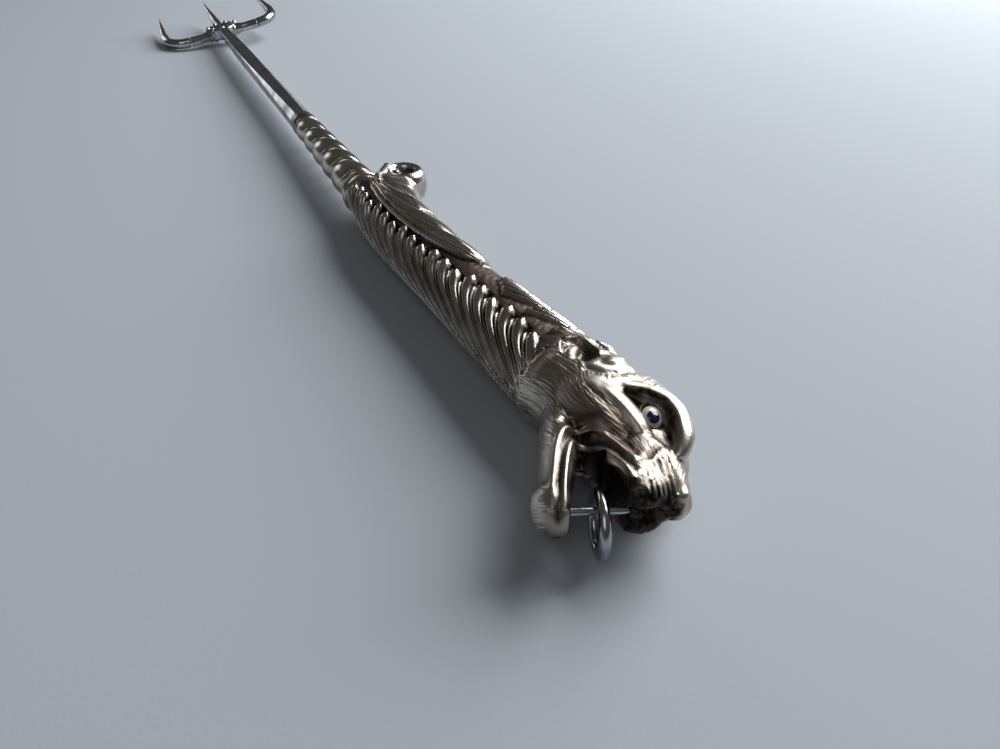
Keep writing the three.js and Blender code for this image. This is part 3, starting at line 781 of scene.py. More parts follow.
@dataclass
class Grip:
    """The stamped grip with its lobes, leaf and mane, its scroll, its collars and the twisted ferrule.

    Places run from the grip's start towards the head, in millimetres. Turns run from the back of the neck over the
    right flank to the throat, in degrees.
    """

    bench: Bench
    start: float = 9.0
    length: float = 95.0
    rise: float = 5.4
    bend: float = 1.5
    radii: Path2 = ((0.0, 5.4), (0.07, 6.57), (0.22, 8.0), (0.55, 8.2), (1.0, 9.4))
    wall: float = 1.0
    seam_gap: float = 0.02
    shell_grid: tuple[int, int] = (440, 108)
    grid_lead: float = 17.0
    throat_line: float = 146.0
    ground: float = -0.7
    lobe_pitch: float = 4.86
    lobe_first: float = 8.8
    lobe_heads: Path2 = ((0, 119), (20, 121), (42, 117), (68, 103), (95, 103))
    lobe_steps: Place = (-3.0, -0.5, 4.0)
    lobe_gain: float = 0.0015
    lobe_gain_growth: float = 0.000028
    lobe_slope: float = 0.3
    lobe_depth: float = 0.95
    cord_line: Path2 = ((0, 62), (4, 82), (8, 91), (11, 99), (19, 107), (28, 109), (35, 107), (40, 104.5), (45, 100),
                        (49, 95), (54, 86), (57.6, 80), (64, 52))
    cord_half: float = 4.4
    cord_offset: float = 4.6
    leaf_length: float = 59.0
    flute_pitch: float = 14.5
    mane_start: float = 75.5
    lock_length: float = 8.0
    lock_low: float = 97.0
    lock_climb: float = 25.0
    strand_pitch: float = 12.5
    scroll_at: tuple[float, float] = (12.0, -6.0)
    drum: Path2 = ((0.0, 2.8), (1.4, 2.9), (2.3, 2.7), (2.9, 3.3), (3.4, 4.1), (4.2, 4.5), (5.1, 4.2), (5.9, 3.3),
                   (6.4, 1.8))
    drum_radius: float = 6.55
    tang_bore: float = 2.3
    collar: Path2 = ((5.2, 0.0), (5.9, 0.4), (6.2, 1.0), (5.9, 1.5), (5.6, 1.75), (5.9, 2.0), (6.0, 2.4), (5.7, 2.8),
                     (5.2, 3.0))
    cap: Path2 = ((3.9, 0.0), (4.2, 0.5), (4.25, 1.6), (4.0, 2.1), (3.95, 2.5), (4.15, 3.0), (4.25, 4.6), (4.15, 6.6),
                  (3.95, 7.4), (4.0, 7.8), (3.9, 8.3), (3.7, 8.5))
    joint_gap: float = 0.3
    ferrule_length: float = 54.0
    ferrule_turns: float = 5.0
    ferrule_radii: tuple[float, float] = (5.7, 4.4)
    ferrule_groove: float = 1.15

    def profile(self, place: Array) -> Array:
        """Plain radius along the grip, before carving."""
        return along_path(spline(self.radii, 40), place / self.length)

    def laid(self, place: Array, turn: Array, lift: Array) -> Array:
        """Points at a height over the plain grip.

        Args:
            place: Place of each point.
            turn: Turn of each point.
            lift: Height of each point.

        Returns:
            One row for each point.
        """
        share = place / self.length
        radius, angle = self.profile(place) + lift, np.radians(turn)
        return np.column_stack([self.rise * share ** self.bend + radius * np.cos(angle),
                                -self.start - share * self.length, radius * np.sin(angle)])

    def sweep(self, place: Array, turn: Array) -> Array:
        """How far towards the head a lobe has swept.

        Args:
            place: Place of each point.
            turn: Turn to which the lobe has come round.

        Returns:
            Millimetres of sweep.
        """
        past = np.maximum(turn - along_path(self.lobe_heads, place), 0.0)
        gain = self.lobe_gain + self.lobe_gain_growth * place
        knee = np.minimum(past, 0.5 * self.lobe_slope / gain)
        return gain * knee ** 2 + self.lobe_slope * (past - knee)

    def lobes(self, place: Array, turn: Array) -> Relief:
        """Relief of the lobes, which start in threes and sweep towards the head.

        Args:
            place: Place of each point.
            turn: Turn of each point.

        Returns:
            Height, oxide and where there is a lobe.
        """
        count = (place - self.sweep(place, turn) - self.lobe_first) / self.lobe_pitch
        index = np.round(count).astype(int)
        across = count - index
        top = along_path(self.lobe_heads, place) + np.array(self.lobe_steps)[index % 3]
        grown = np.clip((turn - top) / 12.0, 0.0, 1.0)
        ridge = half_round(across + 0.12, 0.33 * np.sqrt(1 - (1 - grown) ** 2) + 1e-6)
        ridge -= 0.35 * bell(across + 0.10, 0.07) * smoothstep(turn, top + 16, top + 34)
        line = half_round(across - 0.35, 0.10) * smoothstep(turn, top + 6, top + 18)
        swell = bell(turn - top - 10, 8.0) - 0.5 * smoothstep(turn, top + 22, top + 60)
        height = -self.lobe_depth + np.maximum((1.15 + 0.4 * swell) * ridge, 0.7 * line)
        return height, 1 - smoothstep(np.maximum(ridge, 0.9 * line), 0.25, 0.85), turn > top

    def leaf(self, place: Array, inside: Array) -> Relief:
        """Relief of the fluted leaf.

        Args:
            place: Place of each point.
            inside: Degrees inwards from the cord along the leaf's edge.

        Returns:
            Height, oxide and the leaf's share of the surface.
        """
        share = smoothstep(inside, 7.5, 11.0) * (1 - smoothstep(place, self.leaf_length - 4, self.leaf_length))
        phase = (place + self.start - 17 * np.tanh((inside - 10) / 20) - 0.08 * inside - 12) / self.flute_pitch
        flute = np.abs(np.sin(np.pi * (phase + 0.5))) ** 0.8
        return 0.5 + 1.3 * (flute - 1), 0.95 * (1 - smoothstep(flute, 0.1, 0.55)), share

    def lock_edge(self, place: Array) -> Relief:
        """Outline of the mane's locks; the first one has a round front.

        Args:
            place: Place of each point.

        Returns:
            The turn at which the locks end, the share along a lock, and where there are locks.
        """
        count = (place - self.mane_start) / self.lock_length
        within = np.where(count < 0, -count, np.mod(count, 1.0))
        front = np.sqrt(1 - np.clip((-count - 0.72) / 0.28, 0, 1) ** 2)
        return (self.lock_low - self.lock_climb * within ** 0.8) * front, within, count > -1

    def mane(self, place: Array, turn: Array) -> Relief:
        """Relief of the mane's locks, one behind the other along the back.

        Args:
            place: Place of each point.
            turn: Turn of each point.

        Returns:
            Height, darkness of oxide and painted shade, and the mane's share of the surface.
        """
        edge, within, grown = self.lock_edge(place)
        lean = self.lock_climb * np.mod((place - self.mane_start) / self.lock_length, 1.0)
        strand = 0.5 - 0.5 * np.cos(2 * np.pi * (self.lock_low - lean - turn) / self.strand_pitch)
        height = 0.4 * half_round(2 * (0.3 + 0.7 * within) - 1, 1.0) - 0.1 + 0.55 * (strand - 1)
        # Oxide lies in the grooves between the strands; painted shade darkens each lock's root, where it meets the lock
        # before it.
        oxide_and_shade = np.maximum(0.95 * (1 - smoothstep(strand, 0.1, 0.6)) * smoothstep(edge - turn, 5, 10),
                           0.8 * (1 - smoothstep(within, 0.0, 0.12)) * (place > self.mane_start + 4))
        return height, oxide_and_shade, smoothstep(edge - turn, 0.0, 6.0) * grown

    def carving(self, place: Array, turn: Array) -> Relief:
        """Relief of the carved grip.

        Args:
            place: Place of each point.
            turn: Turn of each point.

        Returns:
            Height, darkness of oxide and painted shade, and bare ground at each point.
        """
        late = smoothstep(place, 50.0, 64.0)
        pits = grain(place / 0.7, turn / 5.0, 5) - 0.5
        height = self.ground + 0.12 * pits
        lobe_height, lobe_oxide, on_lobe = self.lobes(place, turn)
        height = np.where(on_lobe, np.maximum(lobe_height, height - 0.2), height)
        oxide_and_shade = np.where(on_lobe, lobe_oxide, 0.8 - 0.62 * late + 0.3 * pits)
        bare = np.where(on_lobe, 0.0, 0.9 * late)
        inside = along_path(self.cord_line, place) - turn
        # Painted shade on the ground just below the cord, which stops before the mane.
        under = bell(inside + 12, 4.0) * (1 - smoothstep(place, 68.0, 74.0))
        oxide_and_shade = np.maximum(oxide_and_shade, 0.9 * under * ~on_lobe)
        # Painted shade on the ground just under the lower edge of the mane's locks.
        edge, _, grown = self.lock_edge(place)
        oxide_and_shade = np.maximum(oxide_and_shade, 0.85 * bell(turn - edge - 2, 3.5) * (grown & ~on_lobe))
        for relief, stain, share in (self.leaf(place, inside), self.mane(place, turn)):
            height = height * (1 - share) + relief * share
            oxide_and_shade = oxide_and_shade * (1 - share) + stain * share
            bare = bare * (1 - share)
        run = smoothstep(place, 0.0, 3.0) * (1 - smoothstep(place, 56.0, 62.0))
        for sign in SIGNS:
            strand = half_round(inside + sign * self.cord_offset, self.cord_half) * run
            taken = strand > 0
            height = np.where(taken, -0.4 + 1.0 * strand, height)
            oxide_and_shade = np.where(taken, 0.9 * (1 - smoothstep(strand, 0.25, 0.8)), oxide_and_shade)
            bare = np.where(taken, 0.0, bare)
        fade = np.clip(np.minimum(place / 5.0, (self.length - place) / 3.5), 0, 1)
        return height * fade, np.clip(oxide_and_shade, 0, 1) * (0.3 + 0.7 * fade), np.clip(bare, 0, 1)

    def shell(self, side: Side) -> None:
        """Makes one half of the grip: a laid grid, carved and given its wall.

        The right half's lobes run on over the throat and end in a line low on the left half. The right half's grid
        follows the sweep of the lobes, so that their edges stay clean.

        Args:
            side: The half.
        """
        def spread(along: Array, around: Array) -> tuple[Array, Array]:
            """Lays the grid's points out over the grip.

            Args:
                along: Share of the length at each point.
                around: Share of the half turn at each point.

            Returns:
                Place and carved turn of each point.
            """
            turn = 180 * around
            if side is Side.LEFT:
                return self.length * along, np.where(turn > self.throat_line, 360 - turn, turn)
            place = first = (self.length + self.grid_lead) * along - self.grid_lead
            for _ in range(8):
                place = np.clip(first + self.sweep(np.clip(place, 0, self.length), turn), 0, self.length)
            return place, turn

        def shape(along: Array, around: Array) -> Array:
            """Carves the points and turns them to this half's side.

            Args:
                along: Share of the length at each point.
                around: Share of the half turn at each point.

            Returns:
                One row for each point.
            """
            place, turn = spread(along, around)
            points = self.laid(place, 180 * around, self.carving(place, turn)[0])
            points[:, 2] = side.value * (points[:, 2] + self.seam_gap)
            return points

        sheet = wrapped_grid(*self.shell_grid, shape)
        grid = np.meshgrid(*(np.linspace(0, 1, count + 1) for count in self.shell_grid))
        _, oxide_and_shade, bare = self.carving(*spread(*(part.ravel() for part in grid)))
        # The carving's darkness: oxide in the hollows and painted shade under the cord and the locks.
        paint(sheet, "hollow", oxide_and_shade)
        paint(sheet, "bare", bare)
        if side is Side.RIGHT:
            sheet.data.flip_normals()
        rework(sheet, merge)
        apply_modifier(sheet, "SOLIDIFY", thickness=self.wall, offset=-1.0)
        name = side.name.lower()
        self.bench.hand_over(sheet, f"grip_shell_{name}", Slot.GRIP, f"handle_shell_{name}")

    def scroll(self) -> None:
        """Makes the rolled end of the leaf: a drum with dished ends on a fluted stalk that grows out of the leaf."""
        half = [(radius, -along) for radius, along in self.drum]
        drum = turned([*half, (self.drum_radius, 0.0), *reversed(self.drum)], 72)
        drum.data.transform(Matrix.Translation((*self.scroll_at, 0.0)) @ Matrix.Rotation(math.radians(90), 4, "X"))

        def shape(along: Array, around: Array) -> Array:
            """Lays the stalk's skin: its outside first, then its inside.

            Args:
                along: Share of the length at each point.
                around: Share of the way over the outside and back under it.

            Returns:
                One row for each point.
            """
            place = 0.5 + 29.0 * along
            turn = 170 * (2 * np.minimum(around, 1 - around) / 0.96 - 0.52).clip(-0.5, 0.5)
            bulge = np.interp(place, [0, 3, 6, 10, 15, 21, 30], [8.4, 8.2, 6.6, 4.2, 2.2, 0.9, 0.0])
            relief, _, _ = self.leaf(place, along_path(self.cord_line, place) - np.abs(turn))
            rim = 1 - smoothstep(np.abs(turn), 62, 84)
            lift = bulge * bell(turn, 36) + (relief + 0.25) * rim - 0.9 * (1 - rim)
            return self.laid(place, turn, np.where(around < 0.5, lift, -1.4))

        stalk = wrapped_grid(140, 160, shape)
        close_up(stalk)
        trim = [drum, stalk]
        for sign in SIGNS:
            edge = spline([(9.0, -1.6, sign * 4.0), (6.4, -5.6, sign * 4.5), (4.2, -9.0, sign * 5.2),
                           (2.4, -13.0, sign * 6.6), (1.0, -18.0, sign * 7.2)], 8)
            trim.append(drawn_bar(edge, np.linspace(1.1, 0.75, len(edge))))
            trim.append(ball((10.4, -4.8, sign * 3.0), (1.2, 1.2, 0.9), rings=10))
        roll = join(trim)
        fuse(roll, 0.22, 3)
        dark = self.bench.stain(roll, 16, 3.4, 0.015)
        x, y, z = points_of(roll).T
        # The dished ends of the drum are painted dark, at 0.8, over their whole face.
        dish = 1 - smoothstep(np.hypot(x - self.scroll_at[0], y - self.scroll_at[1]), 2.8, 3.6)
        dish *= (np.abs(z) > 2.0) & (np.abs(z) < 3.6)
        paint(roll, "hollow", np.maximum(dark, 0.8 * dish))
        self.bench.hand_over(roll, "leaf_roll", Slot.GRIP, "leaf_scroll")

    def bored(self, outline: Path2, low: float) -> Piece:
        """A turned ring with the tang's bore.

        Args:
            outline: Outside corners, as radius and distance from the ring's low end.
            low: Where the low end lies along Y.

        Returns:
            The ring.
        """
        corners = ((self.tang_bore, 0.0), *outline, (self.tang_bore, outline[-1][1]))
        return turned([(radius, low + along) for radius, along in corners])

    def collars(self) -> None:
        """Makes the turned rings at both ends of the ferrule."""
        low = -self.start + self.joint_gap
        ring = self.bored(self.collar, low)
        self.bench.stain(ring, 3, 6.0)
        self.bench.hand_over(ring, "grip_collar", Slot.GRIP, "handle_collar")
        low += self.collar[-1][1] + self.joint_gap + self.ferrule_length + self.joint_gap
        ring = self.bored(self.cap, low)
        paint(ring, "hollow", 0.45)
        self.bench.hand_over(ring, "ferrule_cap", Slot.GRIP, "shank_collar")

    def ferrule(self) -> None:
        """Makes the rope-twisted sleeve: one wide strand wound round, with a thin wire laid in its groove."""
        low = -self.start + 2 * self.joint_gap + self.collar[-1][1]
        thick, thin = self.ferrule_radii

        def shape(along: Array, around: Array) -> Array:
            """Winds the strand and the wire round the sleeve.

            Args:
                along: Share of the length at each point.
                around: Share of the whole turn at each point.

            Returns:
                One row for each point.
            """
            phase = np.mod(self.ferrule_turns * along - around, 1.0)
            strand = np.maximum(self.ferrule_groove * half_round(phase - 0.40, 0.40),
                                0.75 * half_round(phase - 0.90, 0.085))
            angle = 2 * np.pi * around
            radius = (thick + (thin - thick) * along) - self.ferrule_groove + strand
            return np.column_stack([radius * np.cos(angle), low + along * self.ferrule_length,
                                    radius * np.sin(angle)])

        sleeve = wrapped_grid(260, 120, shape)
        close_up(sleeve)
        cut_with(sleeve, rod(Vector((0, low - 2, 0)), Vector((0, low + self.ferrule_length + 2, 0)), self.tang_bore))
        self.bench.stain(sleeve, 10)
        self.bench.hand_over(sleeve, "rope_ferrule", Slot.GRIP, "twisted_ferrule")

    def build(self) -> None:
        """Makes every piece of the grip."""
        for side in Side:
            self.shell(side)
        self.scroll()
        self.collars()
        self.ferrule()


# Head


@dataclass(frozen=True)
class Mass:
    """One rounded mass of the head: middle and half sizes, forward, back and side."""

    forward: float
    back: float
    side: float
    half: Place
    pitch: float = 0.0


@dataclass(frozen=True)
class Roll:
    """One roll of wax laid on both flanks: places as forward, back and side, and a radius at each."""

    path: Sequence[Place]
    radii: Sequence[float]


@dataclass(frozen=True)
class Stroke:
    """One raised or sunk stroke on both flanks, along a line of forward and back places, with the painted shade that
    lies along it.
    """

    path: Path2
    width: float
    height: float
    # How dark the painted shade along the stroke is.
    dark: float = 0.0


@dataclass
class Head:
    """The big cat's head with its separate lower jaw, its eyes and their bezels."""

    bench: Bench
    neck: tuple[float, float] = (5.4, -104.3)
    coarse_voxel: float = 0.4
    fine_voxel: float = 0.25
    eye: Place = (20.9, 3.9, 4.4)
    eye_radius: float = 2.1
    look: Place = (0.3, -0.38, 0.87)
    gaze: Place = (-0.2, -0.6, 0.77)
    bar: tuple[Place, Place] = ((33.0, -4.1, -0.8), (27.4, -17.0, -0.8))
    ring_room: tuple[float, float] = (1.6, 9.4)
    fur_from: tuple[float, float] = (38.0, -2.0)
    masses: tuple[Mass, ...] = (
        Mass(1.0, 0.0, 0.0, (4.6, 10.0, 9.9)),
        Mass(9.5, 2.0, 0.0, (17.0, 9.8, 9.2)),
        Mass(15.5, 7.4, 0.0, (10.5, 6.2, 7.0)),
        Mass(13.5, -1.4, 4.4, (10.0, 5.6, 4.8)),
        Mass(19.5, 7.4, 3.4, (7.0, 3.0, 3.2)),
        Mass(25.0, 3.4, 0.0, (6.5, 4.6, 5.4)),
        Mass(26.6, -0.3, 0.0, (9.6, 5.6, 6.3)),
        Mass(25.0, -4.0, 0.0, (8.6, 4.4, 5.6)),
        Mass(30.0, -4.2, 2.7, (5.4, 4.6, 3.4)),
        Mass(35.2, 0.4, 2.2, (1.1, 1.0, 1.0)),
        Mass(33.4, -0.2, 0.0, (3.4, 3.2, 3.6)),
        Mass(18.6, -11.5, 0.0, (14.4, 3.3, 6.2), 29.0),
        Mass(27.6, -17.4, 0.0, (4.2, 3.4, 4.8)),
        Mass(5.6, 2.6, 5.8, (4.4, 4.6, 3.2)),
    )
    sockets: tuple[Mass, ...] = (
        Mass(20.8, 4.3, 8.6, (5.6, 3.5, 4.3), -8.0),
        Mass(3.6, 1.4, 10.2, (3.6, 3.6, 3.4)),
    )
    rolls: tuple[Roll, ...] = (
        Roll(((14.6, 2.6, 7.6), (16.3, 5.4, 6.4), (19.3, 7.6, 5.5), (23.0, 7.8, 5.3), (26.4, 6.4, 5.2),
              (28.6, 4.9, 4.7), (29.8, 3.2, 4.0)), (1.3, 2.1, 2.7, 2.6, 2.2, 1.7, 1.2)),
        Roll(((12.4, -1.2, 7.6), (15.6, -0.4, 6.9), (19.2, 0.2, 6.1), (22.4, 0.6, 5.0), (25.0, 0.9, 4.4)),
             (1.6, 2.4, 2.5, 2.3, 1.5)),
        Roll(((6.4, 6.6, 6.8), (3.6, 7.0, 6.8), (0.9, 5.4, 7.2)), (1.3, 1.3, 0.9)),
        Roll(((1.6, 1.4, 7.4), (3.6, -0.8, 7.8), (6.2, -1.6, 8.0)), (1.2, 1.4, 0.9)),
        Roll(((8.6, 6.4, 6.6), (9.2, 4.2, 7.2), (8.8, 2.2, 7.4)), (2.2, 2.5, 1.9)),
    )
    folds: tuple[Path2, ...] = (
        ((32.6, -20.5), (27.0, -17.5), (20.8, -13.4), (17.4, -9.8), (17.4, -7.4), (19.4, -5.4), (24.0, -4.2),
         (28.5, -3.9)),
        ((32.4, -18.5), (26.8, -15.5), (21.9, -11.9), (19.6, -9.5), (20.0, -7.8), (23.2, -6.4), (27.6, -5.8),
         (31.6, -6.3)),
    )
    fold_radius: float = 0.6
    marks: tuple[Stroke, ...] = (
        Stroke(((16.6, 3.2), (17.8, 5.6), (20.8, 6.9), (24.2, 6.0), (26.6, 3.8)), 1.1, 0.0, 0.95),
        Stroke(((15.6, 2.6), (18.2, 3.0)), 0.9, 0.0, 0.9),
        Stroke(((24.4, 1.6), (27.4, 2.6)), 0.9, -0.25, 0.8),
        Stroke(((32.4, -19.5), (27.0, -16.5), (21.3, -12.6), (18.5, -9.6), (18.7, -7.6), (21.3, -5.9), (25.8, -5.0),
                (30.0, -5.1)), 0.5, -0.3, 0.85),
        Stroke(((16.0, -10.2), (16.0, -7.2), (18.2, -4.6), (23.2, -3.2), (27.0, -2.8)), 0.7, -0.25, 0.6),
        Stroke(((13.4, -3.4), (18.0, -2.4), (23.0, -1.5)), 0.9, -0.3, 0.55),
        Stroke(((27.6, 0.8), (28.8, -1.6)), 0.6, -0.45, 0.8),
        Stroke(((2.6, 3.0), (5.4, 2.6)), 2.6, 0.0, 0.9),
        Stroke(((6.4, 7.0), (6.2, 3.8), (6.8, 0.6)), 0.8, -0.5, 0.9),
        Stroke(((11.8, 6.4), (12.4, 4.0), (11.4, 1.2), (9.0, -0.6)), 0.7, -0.35, 0.6),
    )
    whiskers: tuple[Stroke, ...] = tuple(
        Stroke(((29.4 + 0.3 * k, 1.0 - 0.95 * k), (32.2 + 0.2 * k, 0.4 - 1.0 * k), (35.0, -0.3 - 0.95 * k)), 0.26, -0.3)
        for k in range(6))
    cheek: Path2 = ((9.0, -4.0), (14.5, -5.6), (20.0, -3.2), (25.5, -2.6))
    beads: Path2 = ((17.0, 6.4), (18.4, 7.0), (24.6, 1.5))

    def spot(self, forward: float, back: float, side: float = 0.0) -> Vector:
        """A place on the head in the fork's frame."""
        return Vector((self.neck[0] + back, self.neck[1] - forward, side))

    def bar_ends(self) -> tuple[Vector, Vector, Vector, Vector]:
        """Both ends of the bar between the jaws, its middle and its direction."""
        start, end = (self.spot(*place) for place in self.bar)
        return start, end, (start + end) / 2, (end - start).normalized()

    def prism(self, outline: Path2, half: float = 30.0) -> Piece:
        """Extrudes an outline of forward and back places across the head.

        Args:
            outline: Corners in order.
            half: Half the prism's width.

        Returns:
            The prism.
        """
        mesh = bpy.data.meshes.new("outline")
        corners = [tuple(self.spot(forward, back, -half)) for forward, back in outline]
        mesh.from_pydata(corners, [], [list(range(len(corners)))])
        piece = link("outline", mesh)
        rework(piece, lambda: bpy.ops.mesh.extrude_region_move(TRANSFORM_OT_translate={"value": (0, 0, 2 * half)}),
               face_out)
        return piece

    def mouth(self) -> Piece:
        """The gap between the jaws, open on both sides.

        Returns:
            The tool that cuts it.
        """
        share = np.linspace(0, 1, 15)[:, None]
        corner, arch, front, low, middle = np.array(
            ((20.6, -8.9), (27.4, -4.9), (36.0, -8.6), (33.0, -17.6), (26.4, -14.4)))
        upper, lower = ((1 - share) ** 2 * a + 2 * share * (1 - share) * b + share ** 2 * c
                        for a, b, c in ((corner, arch, front), (low, middle, corner)))
        return self.prism([*map(tuple, upper), (60.0, -8.6), (60.0, -17.6), *map(tuple, lower[:-1])])

    def jaw_region(self) -> Piece:
        """The part of the profile below the mouth and in front of the seam at the jaw's root."""
        return self.prism([(20.9, -8.5), (14.2, -21.8), (14.2, -64.0), (60.0, -64.0), (60.0, -12.2)])

    def flank(self, piece: Piece) -> tuple[Array, Array, Array, Array]:
        """Forward, back and side places of a piece, and how far each point faces sideways."""
        x, y, z = points_of(piece).T
        return self.neck[1] - y, x - self.neck[0], z, np.abs(normals_of(piece)[:, 2])

    def lump(self, mass: Mass) -> list[Piece]:
        """One mass, on both flanks where it stands off the middle.

        Args:
            mass: The mass.

        Returns:
            One ball or two.
        """
        half = (mass.half[1], mass.half[0], mass.half[2])
        signs = (1, -1) if mass.side else (1,)
        return [ball(self.spot(mass.forward, mass.back, sign * mass.side), half, -mass.pitch) for sign in signs]

    def seat(self, piece: Piece, path: Path2, sign: int) -> Array:
        """Finds where a line of forward and back places meets a flank.

        Args:
            piece: The head.
            path: The line's corners.
            sign: The flank, 1 or -1.

        Returns:
            Places on the surface; corners that miss it are left out.
        """
        hits = []
        for forward, back in spline(path, 6):
            hit, place, _, _ = piece.ray_cast(self.spot(forward, back, 30.0 * sign), Vector((0, 0, -sign)))
            if hit and place.z * sign > 2.0:
                hits.append(tuple(place))
        places = np.array(hits)
        for _ in range(4):
            places[1:-1] = (places[:-2] + 2 * places[1:-1] + places[2:]) / 4
        return places

    def press(self, piece: Piece, strokes: Sequence[Stroke]) -> None:
        """Raises and sinks strokes on both flanks, straight sideways.

        Args:
            piece: The head.
            strokes: The strokes.
        """
        forward, back, side, facing = self.flank(piece)
        weight = smoothstep(facing, 0.2, 0.6) * smoothstep(np.abs(side), 1.5, 3.0)
        lift = np.zeros(len(forward))
        for stroke in strokes:
            lift += stroke.height * bell(away_from(stroke.path, forward, back), stroke.width)
        places = points_of(piece)
        places[:, 2] += np.sign(side) * lift * weight
        move_points(piece, places)

    def fur_lay(self, piece: Piece) -> tuple[Array, Array]:
        """Coordinates that run across and along the hairs, which stream back from the nose.

        Args:
            piece: The head.

        Returns:
            Places across and along, in millimetres.
        """
        forward, back, side, _ = self.flank(piece)
        behind, above = self.fur_from[0] - forward, back - self.fur_from[1]
        run = np.hypot(behind, above) + 0.25 * np.abs(side)
        return np.arctan2(above, behind) * 20.0 + 0.9 * side + 0.5 * np.sin(run / 3.0), run

    def smooth_parts(self, piece: Piece) -> Array:
        """How much fur each point bears: none on lips, brow hood, cheekbone, nose and round the eye.

        Args:
            piece: The head.

        Returns:
            A share for each vertex.
        """
        forward, back, _, _ = self.flank(piece)
        keep = smoothstep(away_from((self.eye[:2],), forward, back), 3.6, 5.0)
        for path in self.folds:
            keep *= smoothstep(away_from(path, forward, back), self.fold_radius, self.fold_radius + 0.8)
        for roll, reach in ((self.rolls[0], 1.1), (self.rolls[1], 1.1), (self.rolls[-1], 2.2)):
            keep *= smoothstep(away_from([corner[:2] for corner in roll.path], forward, back), reach, reach + 1.0)
        return keep * (1 - smoothstep(forward, 32.5, 34.5))

    def chase(self, piece: Piece) -> None:
        """Cuts the fur: short hairs that stream back from the nose, and tufts where the neck meets the grip.

        Args:
            piece: The head.
        """
        across, run = self.fur_lay(piece)
        hairs = np.abs(2 * grain(across / 0.7, run / 5.0, 7) - 1)
        locks = grain(across / 2.4, run / 7.0, 11) - 0.5
        lift = self.smooth_parts(piece) * (0.16 * (hairs - 0.5) + 0.2 * locks)
        forward, back, side, _ = self.flank(piece)
        tufts = grain(np.arctan2(side, back) * 14.0 + 64, forward / 3.0 + 8, 13)
        lift -= 0.65 * tufts * (1 - smoothstep(forward, -0.6, 2.4))
        move_points(piece, points_of(piece) + normals_of(piece) * lift[:, None])

    def nose(self, piece: Piece) -> None:
        """Shapes the nose: a flat pad with two comma nostrils and a cleft below it.

        Args:
            piece: The head.
        """
        forward, back, side, _ = self.flank(piece)
        nostril = bell(np.hypot(np.abs(side) - 1.7, back + 1.0), 0.75)
        cleft = bell(side, 0.4) * smoothstep(-back, 1.0, 2.2)
        rim = bell(back - 1.4, 0.6) * bell(side, 3.0)
        lift = smoothstep(forward, 33.4, 35.0) * (-0.8 * nostril - 0.6 * cleft + 0.3 * rim)
        move_points(piece, points_of(piece) + normals_of(piece) * lift[:, None])

    def whole(self) -> Piece:
        """Builds up the masses, hollows the sockets, lays on the rolls, cuts the mouth and chases the surface.

        Returns:
            The whole head in one piece.
        """
        lumps = [piece for mass in self.masses for piece in self.lump(mass)]
        head = join([rod(self.spot(0.6, 0.0), self.spot(9.0, 1.6), 9.3, 64), *lumps])
        fuse(head, self.coarse_voxel, 14)
        for socket in self.sockets:
            for tool in self.lump(socket):
                cut_with(head, tool)
        cut_with(head, self.mouth())
        bpy.context.view_layer.update()
        laid = []
        for sign in (1, -1):
            for roll in self.rolls:
                path = spline([(*corner, radius) for corner, radius in zip(roll.path, roll.radii)], 6)
                places = np.array([tuple(self.spot(f, b, sign * s)) for f, b, s, _ in path])
                laid.append(drawn_bar(places, path[:, 3]))
            for path in self.folds:
                places = self.seat(head, path, sign)
                places[:, 2] -= sign * 0.35 * self.fold_radius
                laid.append(drawn_bar(places, np.full(len(places), self.fold_radius)))
            for place in self.beads:
                for spot in self.seat(head, (place, place), sign)[:1]:
                    laid.append(ball(spot, (0.55, 0.55, 0.6), rings=8))
        head = join([head, *laid])
        fuse(head, self.fine_voxel, 3)
        _, _, middle, run = self.bar_ends()
        half, radius = self.ring_room
        cut_with(head, rod(middle - run * half, middle + run * half, radius, 64))
        self.press(head, self.marks)
        self.press(head, self.whiskers)
        self.nose(head)
        self.chase(head)
        cut_with(head, self.prism([(-20.0, -40.0), (-20.0, 40.0), (-1.7, 40.0), (-1.7, -40.0)]))
        return head

    def dress(self, piece: Piece, name: str, node: str) -> None:
        """Stains a part of the head with oxide, paints shade into its socket, ear, creases, mouth and muzzle front, and
        hands it over.

        Args:
            piece: The part.
            name: Its name.
            node: The CAD node that it stands for.
        """
        dark = self.bench.stain(piece, 16, 3.4)
        forward, back, side, facing = self.flank(piece)
        x, y, _ = normals_of(piece).T
        # Painted shade along the marks: in the eye's socket under the brow, in the ear's hollow, in the lip grooves and
        # creases, on the sideways faces.
        for stroke in self.marks:
            near = bell(away_from(stroke.path, forward, back), 1.2 * stroke.width)
            dark = np.maximum(dark, stroke.dark * near * smoothstep(facing, 0.05, 0.4))
        # Painted shade inside the open mouth, on the roof's faces that turn down and the floor's faces that turn up.
        inside = smoothstep(forward, 20.0, 23.0) * (1 - smoothstep(np.abs(side), 3.6, 5.2))
        inside *= smoothstep(-back, 4.6, 5.6) * smoothstep(x * np.where(back < -11.0, 1, -1), 0.1, 0.4)
        # Painted shade on the muzzle's front under the nose, where the faces turn forward and down.
        front = smoothstep(-0.75 * y - 0.55 * x, 0.2, 0.55) * smoothstep(-back, -0.4, 1.0)
        front *= smoothstep(forward, 29.0, 31.5) * (back > -9)
        # Oxide in the hollows, with the painted shade over it.
        paint(piece, "hollow", np.maximum(dark, np.maximum(0.9 * inside, 0.95 * front)))
        lips = np.maximum(*(1 - smoothstep(away_from(path, forward, back), 0.6, 1.6) for path in self.folds))
        cheek = bell(away_from(self.cheek, forward, back), 3.2) * smoothstep(facing, 0.1, 0.5)
        paint(piece, "bare", np.maximum(0.45 * lips, 0.85 * cheek))
        across, run = self.fur_lay(piece)
        paint(piece, "fur", np.column_stack([across / 0.42, run / 2.6, side / 9.0]))
        paint(piece, "coat", self.smooth_parts(piece))
        self.bench.hand_over(piece, name, Slot.GRIP, node, material=self.bench.fur)

